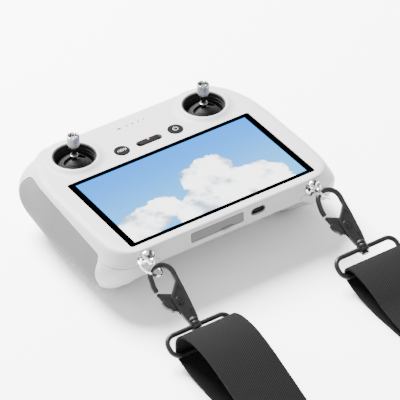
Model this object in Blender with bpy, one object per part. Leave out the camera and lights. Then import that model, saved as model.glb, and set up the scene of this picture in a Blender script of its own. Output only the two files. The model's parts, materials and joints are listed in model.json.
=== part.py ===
"""Hand-held radio transmitter with a built-in touchscreen, two gimbal sticks and a clip-on neck strap.

Frame: metres, +X to the pilot's right, +Y away from the pilot, +Z up. The origin is on the table,
under the middle of the housing. Lengths are written in millimetres and multiplied by MM.
"""
import math

import bmesh
import bpy
from mathutils import Matrix, Vector

MM = 0.001

# Housing
HULL_WIDTH = 168.4
HULL_NEAR = -61.85
HULL_FAR = 60.85
TOP = 44.2            # height of the face plate
SEAM = 34.2           # parting plane between the two shells
WALL = 2.0
GAP = 0.3             # clearance between pieces that touch
NEAR_CORNER = 18.0    # plan radii of the corners
FAR_CORNER = 18.0
FAR_SHOULDER = 7.5    # how much further the face plate's edge draws in at the far corners

# Screen
SCREEN_Y = -19.15
GLASS = (129.2, 73.2, 1.4)
DISPLAY = (124.0, 70.5, 3.6)
BOARD = (112.0, 62.0, 1.6)

# Sticks
STICK_X = 46.5
STICK_Y = 38.8
STICK_HOLE = 13.65
RIM_HEIGHT = 2.0
STICK_TOP = 61.2
KNOB_RADIUS = 3.9
KNOB_LENGTH = 8.8

# Face controls
BUTTON_X = 19.2
BUTTON_Y = 28.6
BUTTON_RADIUS = 4.8
SLIDER_Y = 28.2
SLIDER = (14.0, 5.0)
SLIDER_SLOT = (18.0, 5.6)
LIGHT_Y = 49.0
LIGHT_XS = (-8.8, -3.2, 0.9, 4.9, 8.9)

# Near wall
FLAP_X = -9.3
FLAP_Z = TOP - 6.3
FLAP = (36.4, 6.8)
PORT_X = 19.4
PORT_Z = TOP - 6.2
PORT = (10.4, 5.0)

# Strap fittings
POST_X = 58.5
POST_Z = 37.6
RING_RADIUS = 8.2     # middle of the wire
RING_WIRE = 0.8

# Feet
FEET = (("foot_near_left", -60.0, -20.0), ("foot_near_right", 60.0, -20.0),
        ("foot_far_left", -60.0, 22.0), ("foot_far_right", 60.0, 22.0))

LENGTH_SHIFT = 4.2    # from the middle of the housing to the middle of the whole length


# ---------------------------------------------------------------- materials
def material(name, colour, roughness=0.5, metallic=0.0):
    made = bpy.data.materials.new(name)
    made.use_nodes = True
    shader = made.node_tree.nodes["Principled BSDF"]
    shader.inputs["Base Color"].default_value = (*colour, 1.0)
    shader.inputs["Roughness"].default_value = roughness
    shader.inputs["Metallic"].default_value = metallic
    return made


def make_materials():
    return {
        "shell": material("shell", (0.80, 0.80, 0.80), 0.45),
        "pad": material("pad", (0.30, 0.30, 0.30), 0.8),
        "dark": material("dark", (0.035, 0.036, 0.038), 0.5),
        "glass": material("glass", (0.005, 0.005, 0.006), 0.08),
        "display": material("display", (0.25, 0.50, 0.85), 0.3),
        "steel": material("steel", (0.75, 0.75, 0.76), 0.25, 1.0),
        "chrome": material("chrome", (0.88, 0.88, 0.90), 0.08, 1.0),
        "gunmetal": material("gunmetal", (0.09, 0.09, 0.10), 0.35, 1.0),
        "webbing": material("webbing", (0.025, 0.025, 0.026), 0.9),
        "board": material("board", (0.02, 0.12, 0.06), 0.6),
        "cell": material("cell", (0.10, 0.25, 0.55), 0.5),
        "light": material("light", (0.30, 0.30, 0.30), 0.3),
    }


# ---------------------------------------------------------------- mesh helpers
def place(name, mesh, finish, guide=False):
    """Puts a mesh in the scene as an object; a guide is only there to cut others."""
    obj = bpy.data.objects.new(name, mesh)
    bpy.context.scene.collection.objects.link(obj)
    if finish is not None:
        mesh.materials.append(finish)
    if guide:
        obj.hide_render = True
        obj.display_type = "WIRE"
    return obj


def mesh_of(name, points, faces):
    """A mesh from points in millimetres, with its faces turned outwards."""
    mesh = bpy.data.meshes.new(name)
    mesh.from_pydata([Vector(p) * MM for p in points], [], faces)
    work = bmesh.new()
    work.from_mesh(mesh)
    bmesh.ops.recalc_face_normals(work, faces=work.faces)
    work.to_mesh(mesh)
    work.free()
    return mesh


def loft(name, loops, ring=False):
    """Skins a list of loops of equal length. Its two ends are capped, or joined when ring is true."""
    count = len(loops[0])
    points = [p for loop in loops for p in loop]
    faces = []
    for row in range(len(loops) if ring else len(loops) - 1):
        here, there = row * count, (row + 1) % len(loops) * count
        for k in range(count):
            n = (k + 1) % count
            faces.append((here + k, here + n, there + n, there + k))
    if not ring:
        faces.append(tuple(range(count)))
        faces.append(tuple(range(len(points) - count, len(points))))
    return mesh_of(name, points, faces)


def round_rectangle(width, depth, radius, steps=4, middle=(0.0, 0.0)):
    """Outline points of a rectangle with round corners, anticlockwise."""
    outline = []
    for corner, (sx, sy) in enumerate(((1, 1), (-1, 1), (-1, -1), (1, -1))):
        for step in range(steps + 1):
            angle = math.pi / 2 * (corner + step / steps)
            outline.append((
                middle[0] + sx * (width / 2 - radius) + radius * math.cos(angle),
                middle[1] + sy * (depth / 2 - radius) + radius * math.sin(angle),
            ))
    return outline


def prism(name, outline, low, high, axis="z"):
    """An outline pushed from low to high along an axis. Outlines lie in xy, xz (axis y) or yz (axis x)."""
    turn = {
        "z": lambda a, b, t: (a, b, t),
        "y": lambda a, b, t: (a, t, b),
        "x": lambda a, b, t: (t, a, b),
    }[axis]
    return loft(name, [[turn(a, b, t) for a, b in outline] for t in (low, high)])


def block(name, low, high):
    outline = [(low[0], low[1]), (high[0], low[1]), (high[0], high[1]), (low[0], high[1])]
    return prism(name, outline, low[2], high[2])


def turned(name, profile, sides=24, to=None):
    """Turns a closed profile of (radius, height) about +Z, then moves it by the matrix `to`."""
    loops = []
    for k in range(sides):
        angle = 2 * math.pi * k / sides
        loops.append([(r * math.cos(angle), r * math.sin(angle), z) for r, z in profile])
    mesh = loft(name, loops, ring=True)
    work = bmesh.new()
    work.from_mesh(mesh)
    bmesh.ops.remove_doubles(work, verts=work.verts, dist=1e-7)
    bmesh.ops.dissolve_degenerate(work, edges=work.edges, dist=1e-7)
    bare = [edge for edge in work.edges if not edge.link_faces]
    bmesh.ops.delete(work, geom=bare, context="EDGES")
    bmesh.ops.recalc_face_normals(work, faces=work.faces)
    if to is not None:
        bmesh.ops.transform(work, matrix=to, verts=work.verts)
    work.to_mesh(mesh)
    work.free()
    return mesh


def solid_profile(points):
    """Closes a profile of (radius, height) points on the axis."""
    return [(0.0, points[0][1]), *points, (0.0, points[-1][1])]


def at(x, y, z, turn=None):
    """A placing matrix; turn is a rotation matrix, and x, y, z are in millimetres."""
    moved = Matrix.Translation(Vector((x, y, z)) * MM)
    return moved @ turn.to_4x4() if turn is not None else moved


def facing(direction):
    """The rotation that takes +Z to a direction."""
    return Vector((0, 0, 1)).rotation_difference(Vector(direction)).to_matrix()


def tube(name, path, radius, sides=8, ring=False, sideways=(1, 0, 0)):
    """A round bar along a path; sideways is a direction that the path never runs along."""
    loops = []
    last = len(path) - 1
    for i, p in enumerate(path):
        before = path[(i - 1) % len(path)] if ring or i else path[0]
        after = path[(i + 1) % len(path)] if ring or i < last else path[last]
        along = (Vector(after) - Vector(before)).normalized()
        u = (Vector(sideways) - Vector(sideways).dot(along) * along).normalized()
        v = along.cross(u)
        loops.append([
            Vector(p) + radius * (math.cos(a) * u + math.sin(a) * v)
            for a in (2 * math.pi * k / sides for k in range(sides))
        ])
    return loft(name, loops, ring=ring)


def boolean(obj, other, operation="DIFFERENCE"):
    """Applies a Boolean to obj and throws the other object away."""
    modifier = obj.modifiers.new("cut", "BOOLEAN")
    modifier.operation = operation
    modifier.solver = "EXACT"
    modifier.object = other
    graph = bpy.context.evaluated_depsgraph_get()
    made = bpy.data.meshes.new_from_object(obj.evaluated_get(graph), depsgraph=graph)
    obj.modifiers.clear()
    finish = list(obj.data.materials)
    obj.data = made
    made.materials.clear()
    for m in finish:
        made.materials.append(m)
    bpy.data.objects.remove(other)
    return obj


def cut(obj, *meshes):
    for mesh in meshes:
        boolean(obj, place("cutter", mesh, None, guide=True))
    return obj


def add(obj, *meshes):
    for mesh in meshes:
        boolean(obj, place("lump", mesh, None, guide=True), "UNION")
    return obj


def keep(obj, mesh):
    return boolean(obj, place("mould", mesh, None, guide=True), "INTERSECT")


def smooth(obj, degrees=35):
    obj.data.shade_smooth()
    obj.data.set_sharp_from_angle(angle=math.radians(degrees))
    return obj


# ---------------------------------------------------------------- the housing's form
def ease(t):
    t = min(1.0, max(0.0, t))
    return t * t * (3 - 2 * t)


def through(knots, y):
    """A smooth curve through (y, value) knots that never overshoots them."""
    if y <= knots[0][0]:
        return knots[0][1]
    for (a, low), (b, high) in zip(knots, knots[1:]):
        if y <= b:
            return low + (high - low) * (0.5 * ease((y - a) / (b - a)) + 0.5 * (y - a) / (b - a))
    return knots[-1][1]


def corner_drop(distance, radius):
    """How far a round corner has drawn in at this distance from the end of the housing."""
    if distance >= radius:
        return 0.0
    return radius - math.sqrt(max(0.0, radius ** 2 - (radius - distance) ** 2))


# Lowest line of each grip, and the underside of the slab between the grips.
GRIP_LINE = ((-61.85, 24), (-57, 17.5), (-49, 11), (-41, 4.8), (-33, 1.2), (-25, 0.3), (28, 0.3),
             (38, 2.6), (48, 8), (56, 15.5), (61, 22))
SLAB_LINE = ((-61.85, 31), (-40, 29.2), (0, 25.5), (40, 22), (61, 24))
FULL_WIDTH = ((-61.85, 82.6), (-30, 84.2), (12, 84.2), (40, 82.2), (61, 81.5))

# Section of one half, from the middle of the face round to the middle of the underside. The first
# number is a share of the half width, at the near end and further in; the second is the height.
SECTION_SHARES = (
    (0.0, 0.0), (0.30, 0.30), (0.60, 0.60), (0.80, 0.80), (0.875, 0.875), (0.918, 0.918), (0.938, 0.938),
    (0.975, 0.975), (1.004, 1.004), (1.004, 1.004), (0.965, 0.945), (0.915, 0.835), (0.865, 0.72),
    (0.80, 0.60), (0.70, 0.515), (0.55, 0.435), (0.40, 0.33), (0.20, 0.18), (0.0, 0.0),
)

# How strongly each of those points takes part in the far shoulder.
SHOULDER_SHARES = {3: 0.5, 4: 0.9, 5: 1.0, 6: 0.85, 7: 0.3}


def section_controls(y, inset):
    """Control points (x, z) of the right half of the section at y, drawn in by inset."""
    from_near, from_far = y - HULL_NEAR - inset, HULL_FAR - y - inset
    half = through(FULL_WIDTH, y) - inset
    half -= corner_drop(from_near, NEAR_CORNER) + corner_drop(from_far, FAR_CORNER)
    top = TOP - inset - corner_drop(from_near, 1.6) - corner_drop(from_far, 4.5)
    grip = through(GRIP_LINE, y) + inset
    slab = through(SLAB_LINE, y) + inset
    side = top - grip
    into = ease(from_near / 32)
    heights = (
        top, top, top, top, top,
        top - 0.9,
        top - min(5.5, 0.16 * side),
        top - min(11.5, 0.30 * side),
        top - min(17.0, 0.44 * side),
        top - min(25.0, 0.62 * side),
        top - min(35.0, 0.82 * side),
        grip + 1.5,
        grip + (1 - into) * 0.5 * (slab - grip) - 0.6,
        slab + into * (grip + 2 - slab),
        slab + into * (grip + 10 - slab),
        slab - into * 2.5,
        slab, slab, slab,
    )
    pull = FAR_SHOULDER * ease(1 - from_far / 34)
    return [
        (half * (near + into * (inner - near)) - pull * SHOULDER_SHARES.get(k, 0.0), z)
        for k, ((near, inner), z) in enumerate(zip(SECTION_SHARES, heights))
    ]


def spline(controls, samples):
    """A closed uniform cubic B-spline."""
    count = len(controls)
    made = []
    for k in range(count):
        a, b, c, d = (controls[(k + i) % count] for i in (-1, 0, 1, 2))
        for s in range(samples):
            t = s / samples
            weights = (
                (1 - t) ** 3 / 6,
                (3 * t ** 3 - 6 * t ** 2 + 4) / 6,
                (-3 * t ** 3 + 3 * t ** 2 + 3 * t + 1) / 6,
                t ** 3 / 6,
            )
            made.append(tuple(
                sum(w * p[axis] for w, p in zip(weights, (a, b, c, d))) for axis in (0, 1)
            ))
    return made


def section(y, inset, samples):
    half = section_controls(y, inset)
    whole = half + [(-x, z) for x, z in reversed(half[1:-1])]
    return [(x, y, z) for x, z in spline(whole, samples)]


def stations(inset, fine):
    """Places of the sections along Y, closer together in the corners."""
    near = [0, 0.25, 1.0, 2.6, 5.0, 8.5, 13.0, 18.0]
    far = [0, 0.4, 1.6, 3.8, 7.0, 11.5, 17.0, 24.0]
    if not fine:
        near, far = near[::2], far[::2]
    start, end = HULL_NEAR + inset, HULL_FAR - inset
    between = [-34, -24, -10, 8, 24] if fine else [-34, -18, 8, 24]
    return [start + d for d in near] + between + [end - d for d in reversed(far)]


def hull(name, inset=0.0, samples=1, fine=True):
    mesh = loft(name, [section(y, inset, samples) for y in stations(inset, fine)])
    work = bmesh.new()
    work.from_mesh(mesh)
    bmesh.ops.triangulate(work, faces=work.faces)
    work.to_mesh(mesh)
    work.free()
    return mesh


# ---------------------------------------------------------------- housing pieces
PAD_OUTLINE = (
    (-43.6, 18), (-43.6, 30), (-42.6, 34.2), (-38.5, 37.0), (-9, 39.2), (16, 40.6), (34, 40.2), (44, 38.2),
    (49, 34.6), (50.4, 30.5), (48.0, 25.0), (42, 18.5), (34, 13.4), (28, 12),
    (-35, 12), (-40, 13.6),
)
PAD_DEPTH = 1.3


def scaled_outline(outline, grow):
    """The outline with each point pushed out by about `grow` from its middle."""
    cy = sum(p[0] for p in outline) / len(outline)
    cz = sum(p[1] for p in outline) / len(outline)
    moved = []
    for y, z in outline:
        away = Vector((y - cy, z - cz))
        moved.append((y + grow * math.copysign(1, away.x), z + grow * math.copysign(1, away.y)))
    return moved


def pad_region(name, side, grow=0.0):
    low, high = sorted((side * 69, side * 95))
    return prism(name, scaled_outline(PAD_OUTLINE, grow), low, high, axis="x")


def make_pad(finish, side, name):
    pad = place(name, hull(name, inset=0.02), finish)
    keep(pad, pad_region("region", side))
    cut(pad, hull("inside", inset=PAD_DEPTH), dial_slot(side))
    return smooth(pad)


def dial_slot(side):
    low, high = DIAL_Z - DIAL_THICK / 2 - 0.5, DIAL_Z + DIAL_THICK / 2 + 0.5
    x = side * DIAL_X
    return rod("dial_slot", DIAL_RADIUS + 0.6, (x, DIAL_Y, low), (x, DIAL_Y, high), 24)


def pad_pocket(side):
    """The recess that a grip pad is glued into."""
    pocket = place("pocket", hull("pocket", inset=-3), None)
    keep(pocket, pad_region("region", side, grow=GAP))
    cut(pocket, hull("floor", inset=PAD_DEPTH + GAP))
    mesh = pocket.data.copy()
    bpy.data.objects.remove(pocket)
    return mesh


def front_band(grow):
    """The part of the near wall, under the parting plane, that belongs to the top shell."""
    return block("band", (-50 - grow, -70, 20), (50 + grow, HULL_NEAR + WALL + 0.2 + grow, SEAM + 1))


def rod(name, radius, start, end, sides=16):
    start, end = Vector(start), Vector(end)
    length = (end - start).length
    profile = solid_profile([(radius, 0.0), (radius, length)])
    return turned(name, profile, sides, at(*start, facing(end - start)))


def gimbal_rim(x, y):
    """The raised lip round a stick, faired into the face plate."""
    steps = ((-1.5, -1.2), (6.5, -1.2), (5.5, 0.05), (3.4, 0.5), (1.9, 1.5), (1.0, RIM_HEIGHT),
             (-1.5, RIM_HEIGHT))
    profile = [(STICK_HOLE + out, TOP + up) for out, up in steps]
    return turned("rim", profile, 32, at(x, y, 0))


def make_top_shell(finish):
    shell = place("top_shell", hull("top_shell"), finish)
    for x in (-STICK_X, STICK_X):
        add(shell, gimbal_rim(x, STICK_Y))
    lower = place("lower", block("lower", (-100, -80, -5), (100, 80, SEAM + GAP / 2)), None)
    cut(lower, front_band(0))
    boolean(shell, lower)
    cut(shell, hull("inside", inset=WALL, fine=False))
    for side in (-1, 1):
        cut(shell, pad_pocket(side))
        cut(shell, rod("hole", STICK_HOLE, (side * STICK_X, STICK_Y, 30), (side * STICK_X, STICK_Y, 60), 32))
        cut(shell, rod("hole", BUTTON_RADIUS + GAP, (side * BUTTON_X, BUTTON_Y, 35),
                       (side * BUTTON_X, BUTTON_Y, 60), 20))
        cut(shell, rod("hole", 1.6, (side * POST_X, HULL_NEAR - 3, POST_Z),
                       (side * POST_X, HULL_NEAR + 6, POST_Z), 12))
    width, depth = GLASS[0] + 2 * GAP, GLASS[1] + 2 * GAP
    cut(shell, prism("window", round_rectangle(width, depth, 1.6, 3, (0, SCREEN_Y)), 30, 60))
    outline = round_rectangle(*SLIDER_SLOT, SLIDER_SLOT[1] / 2 - 0.01, 5, (0, SLIDER_Y))
    cut(shell, prism("slot", outline, 30, 60))
    for k, x in enumerate(LIGHT_XS):
        width = 2.6 if k == 0 else 1.1
        cut(shell, block("eye", (x - width / 2, LIGHT_Y - 0.55, 30), (x + width / 2, LIGHT_Y + 0.55, 60)))
    outline = round_rectangle(FLAP[0] + 2 * GAP, FLAP[1] + 2 * GAP, 1.0, 2, (FLAP_X, FLAP_Z))
    cut(shell, prism("flap_hole", outline, -80, -50, axis="y"))
    cut(shell, prism("port_hole", round_rectangle(*PORT, PORT[1] / 2 - 0.01, 5, (PORT_X, PORT_Z)), -80, -50,
                     axis="y"))
    return smooth(shell)


# Openings in the bottom shell
DIAL_RADIUS = 7.5
DIAL_Z = 26.0
DIAL_THICK = 5.4
DIAL_X = 62.3
DIAL_Y = 54.3
SHOULDER_X = 33.0
SHOULDER_Z = 30.3
BACK_BUTTON = (24.0, 36.0)
TRAY = (58.0, 20.0)
TRAY_Y = 8.0
TRAY_HEIGHT = 6.5
GRILLE = (34.0, 12.0)
GRILLE_Y = -24.0
VENT = (44.0, 6.0)
VENT_Z = 29.4
SCREW_PLACES = ((-34, -44), (34, -44), (-12, 50), (12, 50))


def slab_height(y):
    return through(SLAB_LINE, y)


def make_bottom_shell(finish):
    shell = place("bottom_shell", hull("bottom_shell"), finish)
    cut(shell, block("upper", (-100, -80, SEAM - GAP / 2), (100, 80, 80)), front_band(GAP))
    cut(shell, hull("inside", inset=WALL, fine=False))
    for side in (-1, 1):
        cut(shell, pad_pocket(side))
        cut(shell, dial_slot(side))
        x, y = side * BACK_BUTTON[0], BACK_BUTTON[1]
        cut(shell, rod("hole", 4.8, (x, y, 10), (x, y, 30), 16))
        cut(shell, prism("hole", round_rectangle(12.6, 6.0, 2.9, 4, (side * SHOULDER_X, SHOULDER_Z)), 50, 70,
                         axis="y"))
    cut(shell, block("tray_hole", (-TRAY[0] / 2 - GAP, TRAY_Y - TRAY[1] / 2 - GAP, 10),
                     (TRAY[0] / 2 + GAP, TRAY_Y + TRAY[1] / 2 + GAP, 30)))
    cut(shell, block("grille_hole", (-GRILLE[0] / 2 - GAP, GRILLE_Y - GRILLE[1] / 2 - GAP, 20),
                     (GRILLE[0] / 2 + GAP, GRILLE_Y + GRILLE[1] / 2 + GAP, 32)))
    outline = round_rectangle(VENT[0] + 2 * GAP, VENT[1] + 2 * GAP, 1.5, 2, (0, VENT_Z))
    cut(shell, prism("vent_hole", outline, 50, 70, axis="y"))
    for x, y in SCREW_PLACES:
        cut(shell, rod("hole", 1.5, (x, y, 10), (x, y, 33), 10))
    for _, x, y in FEET:
        cut(shell, rod("recess", 5.3, (x, y, -2), (x, y, 1.9), 16))
    return smooth(shell)


def make_feet(finish):
    for name, x, y in FEET:
        profile = solid_profile([(4.6, 0.0), (5.0, 0.4), (5.0, 1.6)])
        smooth(place(name, turned(name, profile, 16, at(x, y, 0)), finish))


def make_screws(finish):
    for k, (x, y) in enumerate(SCREW_PLACES):
        low = slab_height(y) + 0.7
        profile = solid_profile([(1.1, low), (1.1, low + 2.1), (0.7, low + 2.5)])
        smooth(place(f"case_screw_{k + 1}", turned("screw", profile, 10, at(x, y, 0)), finish))


# ---------------------------------------------------------------- screen and electronics
def make_screen(m):
    outline = round_rectangle(GLASS[0], GLASS[1], 1.4, 3, (0, SCREEN_Y))
    place("screen_glass", prism("glass", outline, TOP - 0.1 - GLASS[2], TOP - 0.1), m["glass"])
    high = TOP - 0.1 - GLASS[2] - GAP
    outline = round_rectangle(DISPLAY[0], DISPLAY[1], 0.8, 2, (0, SCREEN_Y))
    place("display_panel", prism("panel", outline, high - DISPLAY[2], high), m["display"])
    outline = round_rectangle(BOARD[0], BOARD[1], 2.0, 2, (0, SCREEN_Y))
    place("main_board", prism("board", outline, 33.0, 33.0 + BOARD[2]), m["board"])
    place("key_board", block("keys", (-28.5, 19, 35.0), (28.5, 52, 36.2)), m["board"])
    for side, name in ((-1, "left_battery_cell"), (1, "right_battery_cell")):
        profile = solid_profile([(8.4, 0.0), (9.1, 0.6), (9.1, 64.4), (8.4, 65.0)])
        lying = at(side * 62.5, 33, 15.2, facing((0, -1, 0)))
        smooth(place(name, turned(name, profile, 18, lying), m["cell"]))


def make_sound_and_air(m):
    low = slab_height(GRILLE_Y) + 0.5
    grille = place("speaker_grille", block("grille", (-GRILLE[0] / 2, GRILLE_Y - GRILLE[1] / 2, low),
                                           (GRILLE[0] / 2, GRILLE_Y + GRILLE[1] / 2, low + 1.2)), m["dark"])
    for k in range(5):
        y = GRILLE_Y - 4.4 + 2.2 * k
        cut(grille, block("slot", (-14, y - 0.5, low - 1), (14, y + 0.5, low + 3)))
    place("speaker", block("speaker", (-15, GRILLE_Y - 5, low + 1.5), (15, GRILLE_Y + 5, 32.6)), m["dark"])
    near, far = 59.3, 60.6
    outline = round_rectangle(*VENT, 1.2, 2, (0, VENT_Z))
    vent = place("vent_grille", prism("vent", outline, near, far, axis="y"), m["dark"])
    for k in range(9):
        x = -18 + 4.5 * k
        cut(vent, block("slot", (x - 1.3, 55, VENT_Z - 2), (x + 1.3, 65, VENT_Z + 2)))
    tray_low = slab_height(TRAY_Y) + 0.5
    tray = place("stick_tray", block("tray", (-TRAY[0] / 2, TRAY_Y - TRAY[1] / 2, tray_low),
                                     (TRAY[0] / 2, TRAY_Y + TRAY[1] / 2, 32.4)), m["dark"])
    for y in (TRAY_Y - 5, TRAY_Y + 5):
        cut(tray, block("groove", (-26, y - 3.9, 10), (26, y + 3.9, 31.2)))


# ---------------------------------------------------------------- sticks
TILT = 20.0           # degrees each way
DOME_RADIUS = 12.0
CUP_RADIUS = 10.4
PIVOT_Z = TOP - 11.2


def ball_cup(name, outer, inner, low, x, y):
    """A spherical cup, open below, cut off flat at height low under the pivot's level."""
    profile = []
    for radius, steps in ((outer, range(6)), (inner, range(5, -1, -1))):
        end = math.acos(low / radius)
        profile += [(radius * math.sin(end * k / 5), PIVOT_Z + radius * math.cos(end * k / 5)) for k in steps]
    return turned(name, profile, 20, at(x, y, 0))


def pivot(obj, x, y, z):
    """Puts the object's origin on its joint."""
    here = Vector((x, y, z)) * MM
    obj.data.transform(Matrix.Translation(-here))
    obj.location = here
    return obj


def make_stick(m, side, word):
    x, y = side * STICK_X, STICK_Y
    liner = STICK_HOLE - GAP
    profile = [(0, 25.2), (13.6, 25.2), (13.6, 29.2), (16.2, 29.2), (16.2, 41.6), (liner, 41.6),
               (liner, TOP + 1.4), (liner - 0.6, TOP + 1.4), (liner - 0.6, 40.4), (14.8, 40.4), (14.8, 30.4),
               (12.6, 30.4), (12.6, 26.2), (0, 26.2)]
    housing = place(f"{word}_gimbal_housing", turned("housing", profile, 24, at(x, y, 0)), m["dark"])
    for way in (-1, 1):
        add(housing, rod("pin", 1.2, (x + way * 15.4, y, PIVOT_Z), (x + way * 10.9, y, PIVOT_Z), 12))
    smooth(housing)

    dome = ball_cup("yoke", DOME_RADIUS, DOME_RADIUS - 1.1, 0.0, x, y)
    yoke = place(f"{word}_gimbal_yoke", dome, m["dark"])
    for angle in (0, 90, 180, 270):
        turn = Matrix.Rotation(math.radians(angle), 3, "Z")
        ear = prism("ear", [(-2.6, -2.4), (2.6, -2.4), (2.6, 0.5), (-2.6, 0.5)], 10.95, 11.95, axis="x")
        ear.transform(at(x, y, PIVOT_Z, turn))
        add(yoke, ear)
    slot = prism("slot", round_rectangle(15.0, 4.6, 2.2, 3, (x, y)), PIVOT_Z + 6, PIVOT_Z + 20)
    cut(yoke, slot)
    cut(yoke, rod("hole", 1.5, (x - 20, y, PIVOT_Z), (x + 20, y, PIVOT_Z), 12))
    cut(yoke, rod("hole", 1.5, (x, y - 20, PIVOT_Z), (x, y + 20, PIVOT_Z), 12))
    pivot(smooth(yoke), x, y, PIVOT_Z)

    cup = ball_cup("carrier", CUP_RADIUS, CUP_RADIUS - 1.1, -1.8, x, y)
    carrier = place(f"{word}_stick_carrier", cup, m["dark"])
    for way in (-1, 1):
        add(carrier, rod("pin", 1.2, (x, y + way * 9.6, PIVOT_Z), (x, y + way * 11.8, PIVOT_Z), 12))
        notch_x = x + way * 10
        cut(carrier, block("notch", (notch_x - 2, y - 3, PIVOT_Z - 4), (notch_x + 2, y + 3, PIVOT_Z + 3.4)))
    cut(carrier, rod("hole", 1.8, (x, y, PIVOT_Z), (x, y, PIVOT_Z + 20), 14))
    pivot(smooth(carrier), x, y, PIVOT_Z)

    profile = solid_profile([(1.5, PIVOT_Z + 4), (1.5, TOP + 1.5), (2.5, TOP + 2.4), (2.5, TOP + 2.9),
                             (1.5, TOP + 3.7), (1.5, STICK_TOP - 2.6), (1.1, STICK_TOP - 2.2)])
    shaft = place(f"{word}_stick_shaft", turned("shaft", profile, 14, at(x, y, 0)), m["steel"])
    pivot(smooth(shaft), x, y, PIVOT_Z)

    low = STICK_TOP - KNOB_LENGTH
    profile = [(1.8, low), (2.6, low), (3.3, low + 0.6), (3.3, low + 1.6), (KNOB_RADIUS, low + 2.2),
               (KNOB_RADIUS, STICK_TOP - 0.5), (KNOB_RADIUS - 0.5, STICK_TOP), (2.4, STICK_TOP),
               (1.6, STICK_TOP - 1.2), (0, STICK_TOP - 1.2), (0, STICK_TOP - 1.9), (1.8, STICK_TOP - 1.9)]
    knob = place(f"{word}_stick_knob", turned("knob", profile, 24, at(x, y, 0)), m["steel"])
    for angle in (45, 135):
        turn = Matrix.Rotation(math.radians(angle), 3, "Z")
        groove = block("groove", (-6, -0.8, -1.1), (6, 0.8, 2))
        groove.transform(at(x, y, STICK_TOP, turn))
        cut(knob, groove)
    pivot(smooth(knob), x, y, PIVOT_Z)


# ---------------------------------------------------------------- controls
def make_face_controls(m):
    for side, name in ((-1, "return_button"), (1, "power_button")):
        profile = solid_profile([(5.3, 40.0), (5.3, 41.5), (BUTTON_RADIUS - 0.1, 41.5),
                                 (BUTTON_RADIUS - 0.1, TOP + 0.2), (BUTTON_RADIUS - 0.5, TOP + 0.5)])
        button = place(name, turned(name, profile, 24, at(side * BUTTON_X, BUTTON_Y, 0)), m["dark"])
        pivot(smooth(button), side * BUTTON_X, BUTTON_Y, TOP)
    outline = round_rectangle(*SLIDER, 2.49, 5, (0, SLIDER_Y))
    slider = place("mode_slider", prism("top", outline, 41.0, TOP + 0.4), m["dark"])
    add(slider, prism("flange", round_rectangle(23.0, 7.8, 0.8, 2, (0, SLIDER_Y)), 40.0, 41.5))
    pivot(smooth(slider), 0, SLIDER_Y, TOP)
    guide = place("light_guide", block("bar", (-11, LIGHT_Y - 2, 39.4), (11, LIGHT_Y + 2, 41.2)), m["light"])
    for k, x in enumerate(LIGHT_XS):
        half = 0.95 if k == 0 else 0.35
        add(guide, block("tooth", (x - half, LIGHT_Y - 0.35, 41.0), (x + half, LIGHT_Y + 0.35, TOP - 0.05)))


def make_shoulder_controls(m):
    for side, name in ((-1, "record_button"), (1, "shutter_button")):
        x = side * SHOULDER_X
        outline = round_rectangle(12.0, 5.4, 2.6, 4, (x, SHOULDER_Z))
        cap = place(name, prism("cap", outline, 57.0, 62.6, axis="y"), m["dark"])
        add(cap, prism("flange", round_rectangle(14.4, 5.6, 1.5, 2, (x, SHOULDER_Z)), 56.6, 58.2, axis="y"))
        pivot(smooth(cap), x, 60.0, SHOULDER_Z)
    for side, word in ((-1, "left"), (1, "right")):
        x = side * DIAL_X
        low, high = DIAL_Z - DIAL_THICK / 2, DIAL_Z + DIAL_THICK / 2
        rim = DIAL_RADIUS - 0.6
        profile = solid_profile([(1.2, low - 0.3), (1.2, low), (rim, low), (DIAL_RADIUS, low + 0.6),
                                 (DIAL_RADIUS, high - 0.6), (rim, high), (1.2, high), (1.2, high + 1.6)])
        dial = place(f"{word}_dial", turned("dial", profile, 24, at(x, DIAL_Y, 0)), m["dark"])
        pivot(smooth(dial), x, DIAL_Y, DIAL_Z)
    for side, name in ((-1, "c1_button"), (1, "c2_button")):
        x, y = side * BACK_BUTTON[0], BACK_BUTTON[1]
        low = slab_height(y) - 0.8
        profile = solid_profile([(4.0, low), (4.5, low + 0.5), (4.5, low + 3.3), (5.6, low + 3.3),
                                 (5.6, low + 4.4)])
        button = place(name, turned(name, profile, 20, at(x, y, 0)), m["dark"])
        pivot(smooth(button), x, y, low)


# ---------------------------------------------------------------- ports
def make_ports(m):
    y = HULL_NEAR + 0.1
    outline = round_rectangle(*FLAP, 0.9, 3, (FLAP_X, FLAP_Z))
    flap = place("port_cover", prism("flap", outline, y, y + 1.5, axis="y"), m["pad"])
    pivot(smooth(flap), FLAP_X - FLAP[0] / 2, y, FLAP_Z)
    body = block("reader", (FLAP_X + 1, -59.2, FLAP_Z - 1.4), (FLAP_X + 17, -55.0, FLAP_Z + 1.4))
    reader = place("card_reader", body, m["steel"])
    cut(reader, block("slot", (FLAP_X + 2.5, -62, FLAP_Z - 0.5), (FLAP_X + 15.5, -56, FLAP_Z + 0.5)))
    outline = round_rectangle(9.4, 4.0, 1.99, 5, (PORT_X, PORT_Z))
    port = place("charge_port", prism("port", outline, -61.4, -55.0, axis="y"), m["steel"])
    cut(port, prism("mouth", round_rectangle(8.6, 3.2, 1.59, 5, (PORT_X, PORT_Z)), -64, -56, axis="y"))
    add(port, block("tongue", (PORT_X - 3.3, -60.8, PORT_Z - 0.35), (PORT_X + 3.3, -55.6, PORT_Z + 0.35)))
    smooth(port)


# ---------------------------------------------------------------- strap fittings
EYE = {-1: Vector((-58.1, -66.9, 38.3)), 1: Vector((58.8, -66.9, 38.2))}

# How each side's ring lies (its turn, lift and roll in degrees) and where its hook's collar is.
LIE = {-1: (-38.8, 15.2, -34.4), 1: (-32.0, 32.8, -34.6)}
COLLAR = {-1: Vector((-55.24, -108.05, 16.39)), 1: Vector((63.95, -105.97, 17.52))}

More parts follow.
